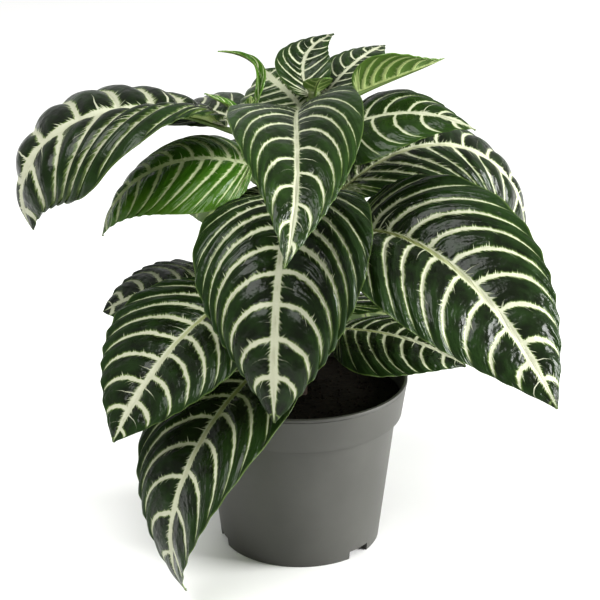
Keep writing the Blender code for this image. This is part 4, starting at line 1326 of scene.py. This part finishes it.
class ZEBRA_OT_soil(bpy.types.Operator):
    """Make the potting soil with its crumbs"""

    bl_idname = "zebra.make_soil"
    bl_label = "Potting soil"

    def execute(self, context):
        settings = context.scene.zebra_soil
        profile = soil_profile()
        roof = POCKET_HEIGHT + POT_FLOOR + GAP
        turned = turned_mesh("soil_turned", profile, SOIL_SIDES)
        steps = []
        for angle in POCKET_ANGLES:
            room = pocket_block(f"room_{angle}", angle, POT_BASE_RADIUS, POT_WALL + GAP, 0.0, roof)
            steps.append(("DIFFERENCE", room))
        plug = carve(turned, "soil_plug", steps)
        inputs = {
            "Edge radius": profile[SOIL_RINGS][0],
            "Lump height": settings.lump_height,
            "Crumb radius": settings.crumb_radius,
            "Crumbs per square metre": settings.crumbs_per_square_metre,
            "Seed": SOIL_SEED,
            "Soil": soil_material(settings),
        }
        soil = grown_object("potting_soil", soil_tree(), inputs, plug.data)
        bpy.data.objects.remove(plug, do_unlink=True)
        dress(soil, "soil", SOFT_SHARP_ANGLE)
        return {"FINISHED"}


class ZEBRA_OT_stem(bpy.types.Operator):
    """Make the stem and its side shoot"""

    bl_idname = "zebra.make_stem"
    bl_label = "Stem"

    def execute(self, context):
        settings = context.scene.zebra_stem
        inputs = {
            "Node swelling": settings.node_swelling,
            "Sides": STEM_SIDES,
            "Bark": stem_material(settings),
        }
        stem = grown_object("leafy_stem", stem_tree(), inputs, stem_guide())
        stem.data.shade_smooth()
        dress(stem, "stem", SOFT_SHARP_ANGLE)
        return {"FINISHED"}


class ZEBRA_OT_leaves(bpy.types.Operator):
    """Grow every leaf of the plant"""

    bl_idname = "zebra.make_leaves"
    bl_label = "Leaves"

    def execute(self, context):
        settings = context.scene.zebra_leaf
        materials = {
            "Upper face": upper_face_material(settings),
            "Lower face": lower_face_material(settings),
            "Stalk": stalk_material(settings),
        }
        tree = leaf_tree()
        for seed, plan in enumerate(LEAVES):
            inputs = leaf_inputs(plan, seed, settings, materials)
            blade = grown_object("zebra_" + plan["name"], tree, inputs)
            blade.data.shade_smooth()
            dress(blade, plan["name"], LEAF_SHARP_ANGLE)
        return {"FINISHED"}


class ZEBRA_OT_stage(bpy.types.Operator):
    """Set up the floor, the lights and the camera"""

    bl_idname = "zebra.make_stage"
    bl_label = "Stage"

    def execute(self, context):
        settings = context.scene.zebra_stage
        make_floor(settings)
        make_lights(settings)
        make_sky(settings)
        make_camera(context.scene)
        context.scene.view_settings.view_transform = "Standard"
        context.scene.view_settings.look = "Medium High Contrast"
        return {"FINISHED"}


def make_floor(settings):
    """A pale, slightly rough floor that fills the view."""
    half = FLOOR_SIDE / 2
    corners = [(-half, -half, 0), (half, -half, 0), (half, half, 0), (-half, half, 0)]
    floor = new_object("studio_floor", new_mesh("studio_floor", corners, faces=[(0, 1, 2, 3)]))
    material, tree, shader, _ = new_material("Pale studio floor")
    fill(tree, shader, {"Base Color": (*settings.floor_white, 1.0), "Roughness": FLOOR_ROUGHNESS})
    floor.data.materials.append(material)


def make_lights(settings):
    """Soft boxes at the right and overhead, aimed at the middle of the plant."""
    boxes = (
        ("softbox_right", settings.key_power, KEY_SIZE, KEY_PLACE),
        ("softbox_top", settings.top_power, TOP_SIZE, TOP_PLACE),
    )
    for name, power, size, place in boxes:
        lamp = bpy.data.lights.new(name, "AREA")
        lamp.energy = power
        lamp.shape = "SQUARE"
        lamp.size = size
        box = new_object(name, lamp)
        box.location = place
        aim = np.array(place) - np.array(LIGHT_TARGET)
        flat = math.hypot(aim[0], aim[1])
        box.rotation_euler = (math.atan2(flat, aim[2]), 0.0, math.atan2(aim[0], -aim[1]))


def make_sky(settings):
    """An even white sky."""
    world = bpy.data.worlds.new("Even sky")
    bpy.context.scene.world = world
    world.use_nodes = True
    sky = world.node_tree.nodes["Background"]
    fill(world.node_tree, sky, {"Color": (1.0, 1.0, 1.0, 1.0), "Strength": settings.sky_strength})


def make_camera(scene):
    """The camera at the photograph's viewing angle."""
    lens = bpy.data.cameras.new("photo_camera")
    lens.sensor_width = SENSOR_WIDTH
    lens.lens = CAMERA_LENS
    camera = new_object("photo_camera", lens)
    tilt = math.radians(CAMERA_ELEVATION)
    x, y, z = CAMERA_TARGET
    camera.location = (x, y - CAMERA_DISTANCE * math.cos(tilt), z + CAMERA_DISTANCE * math.sin(tilt))
    camera.rotation_euler = (math.pi / 2 - tilt, 0.0, 0.0)
    scene.camera = camera


OPERATORS = (ZEBRA_OT_pot, ZEBRA_OT_soil, ZEBRA_OT_stem, ZEBRA_OT_leaves, ZEBRA_OT_stage)


class ZEBRA_PT_plant(bpy.types.Panel):
    """Lists the steps that make the plant"""

    bl_idname = "ZEBRA_PT_plant"
    bl_label = "Potted zebra plant"
    bl_space_type = "VIEW_3D"
    bl_region_type = "UI"
    bl_category = "Zebra plant"

    def draw(self, context):
        for operator in OPERATORS:
            self.layout.operator(operator.bl_idname)
        for pointer, group in SETTINGS:
            column = self.layout.column()
            for name in group.__annotations__:
                column.prop(getattr(context.scene, pointer), name)


def register():
    for pointer, group in SETTINGS:
        bpy.utils.register_class(group)
        setattr(bpy.types.Scene, pointer, bpy.props.PointerProperty(type=group))
    for operator in OPERATORS:
        bpy.utils.register_class(operator)
    bpy.utils.register_class(ZEBRA_PT_plant)


def unregister():
    bpy.utils.unregister_class(ZEBRA_PT_plant)
    for operator in reversed(OPERATORS):
        bpy.utils.unregister_class(operator)
    for pointer, group in reversed(SETTINGS):
        delattr(bpy.types.Scene, pointer)
        bpy.utils.unregister_class(group)


def main():
    register()
    bpy.ops.zebra.make_stage()
    bpy.ops.zebra.make_pot()
    bpy.ops.zebra.make_soil()
    bpy.ops.zebra.make_stem()
    bpy.ops.zebra.make_leaves()


if __name__ == "__main__":
    main()
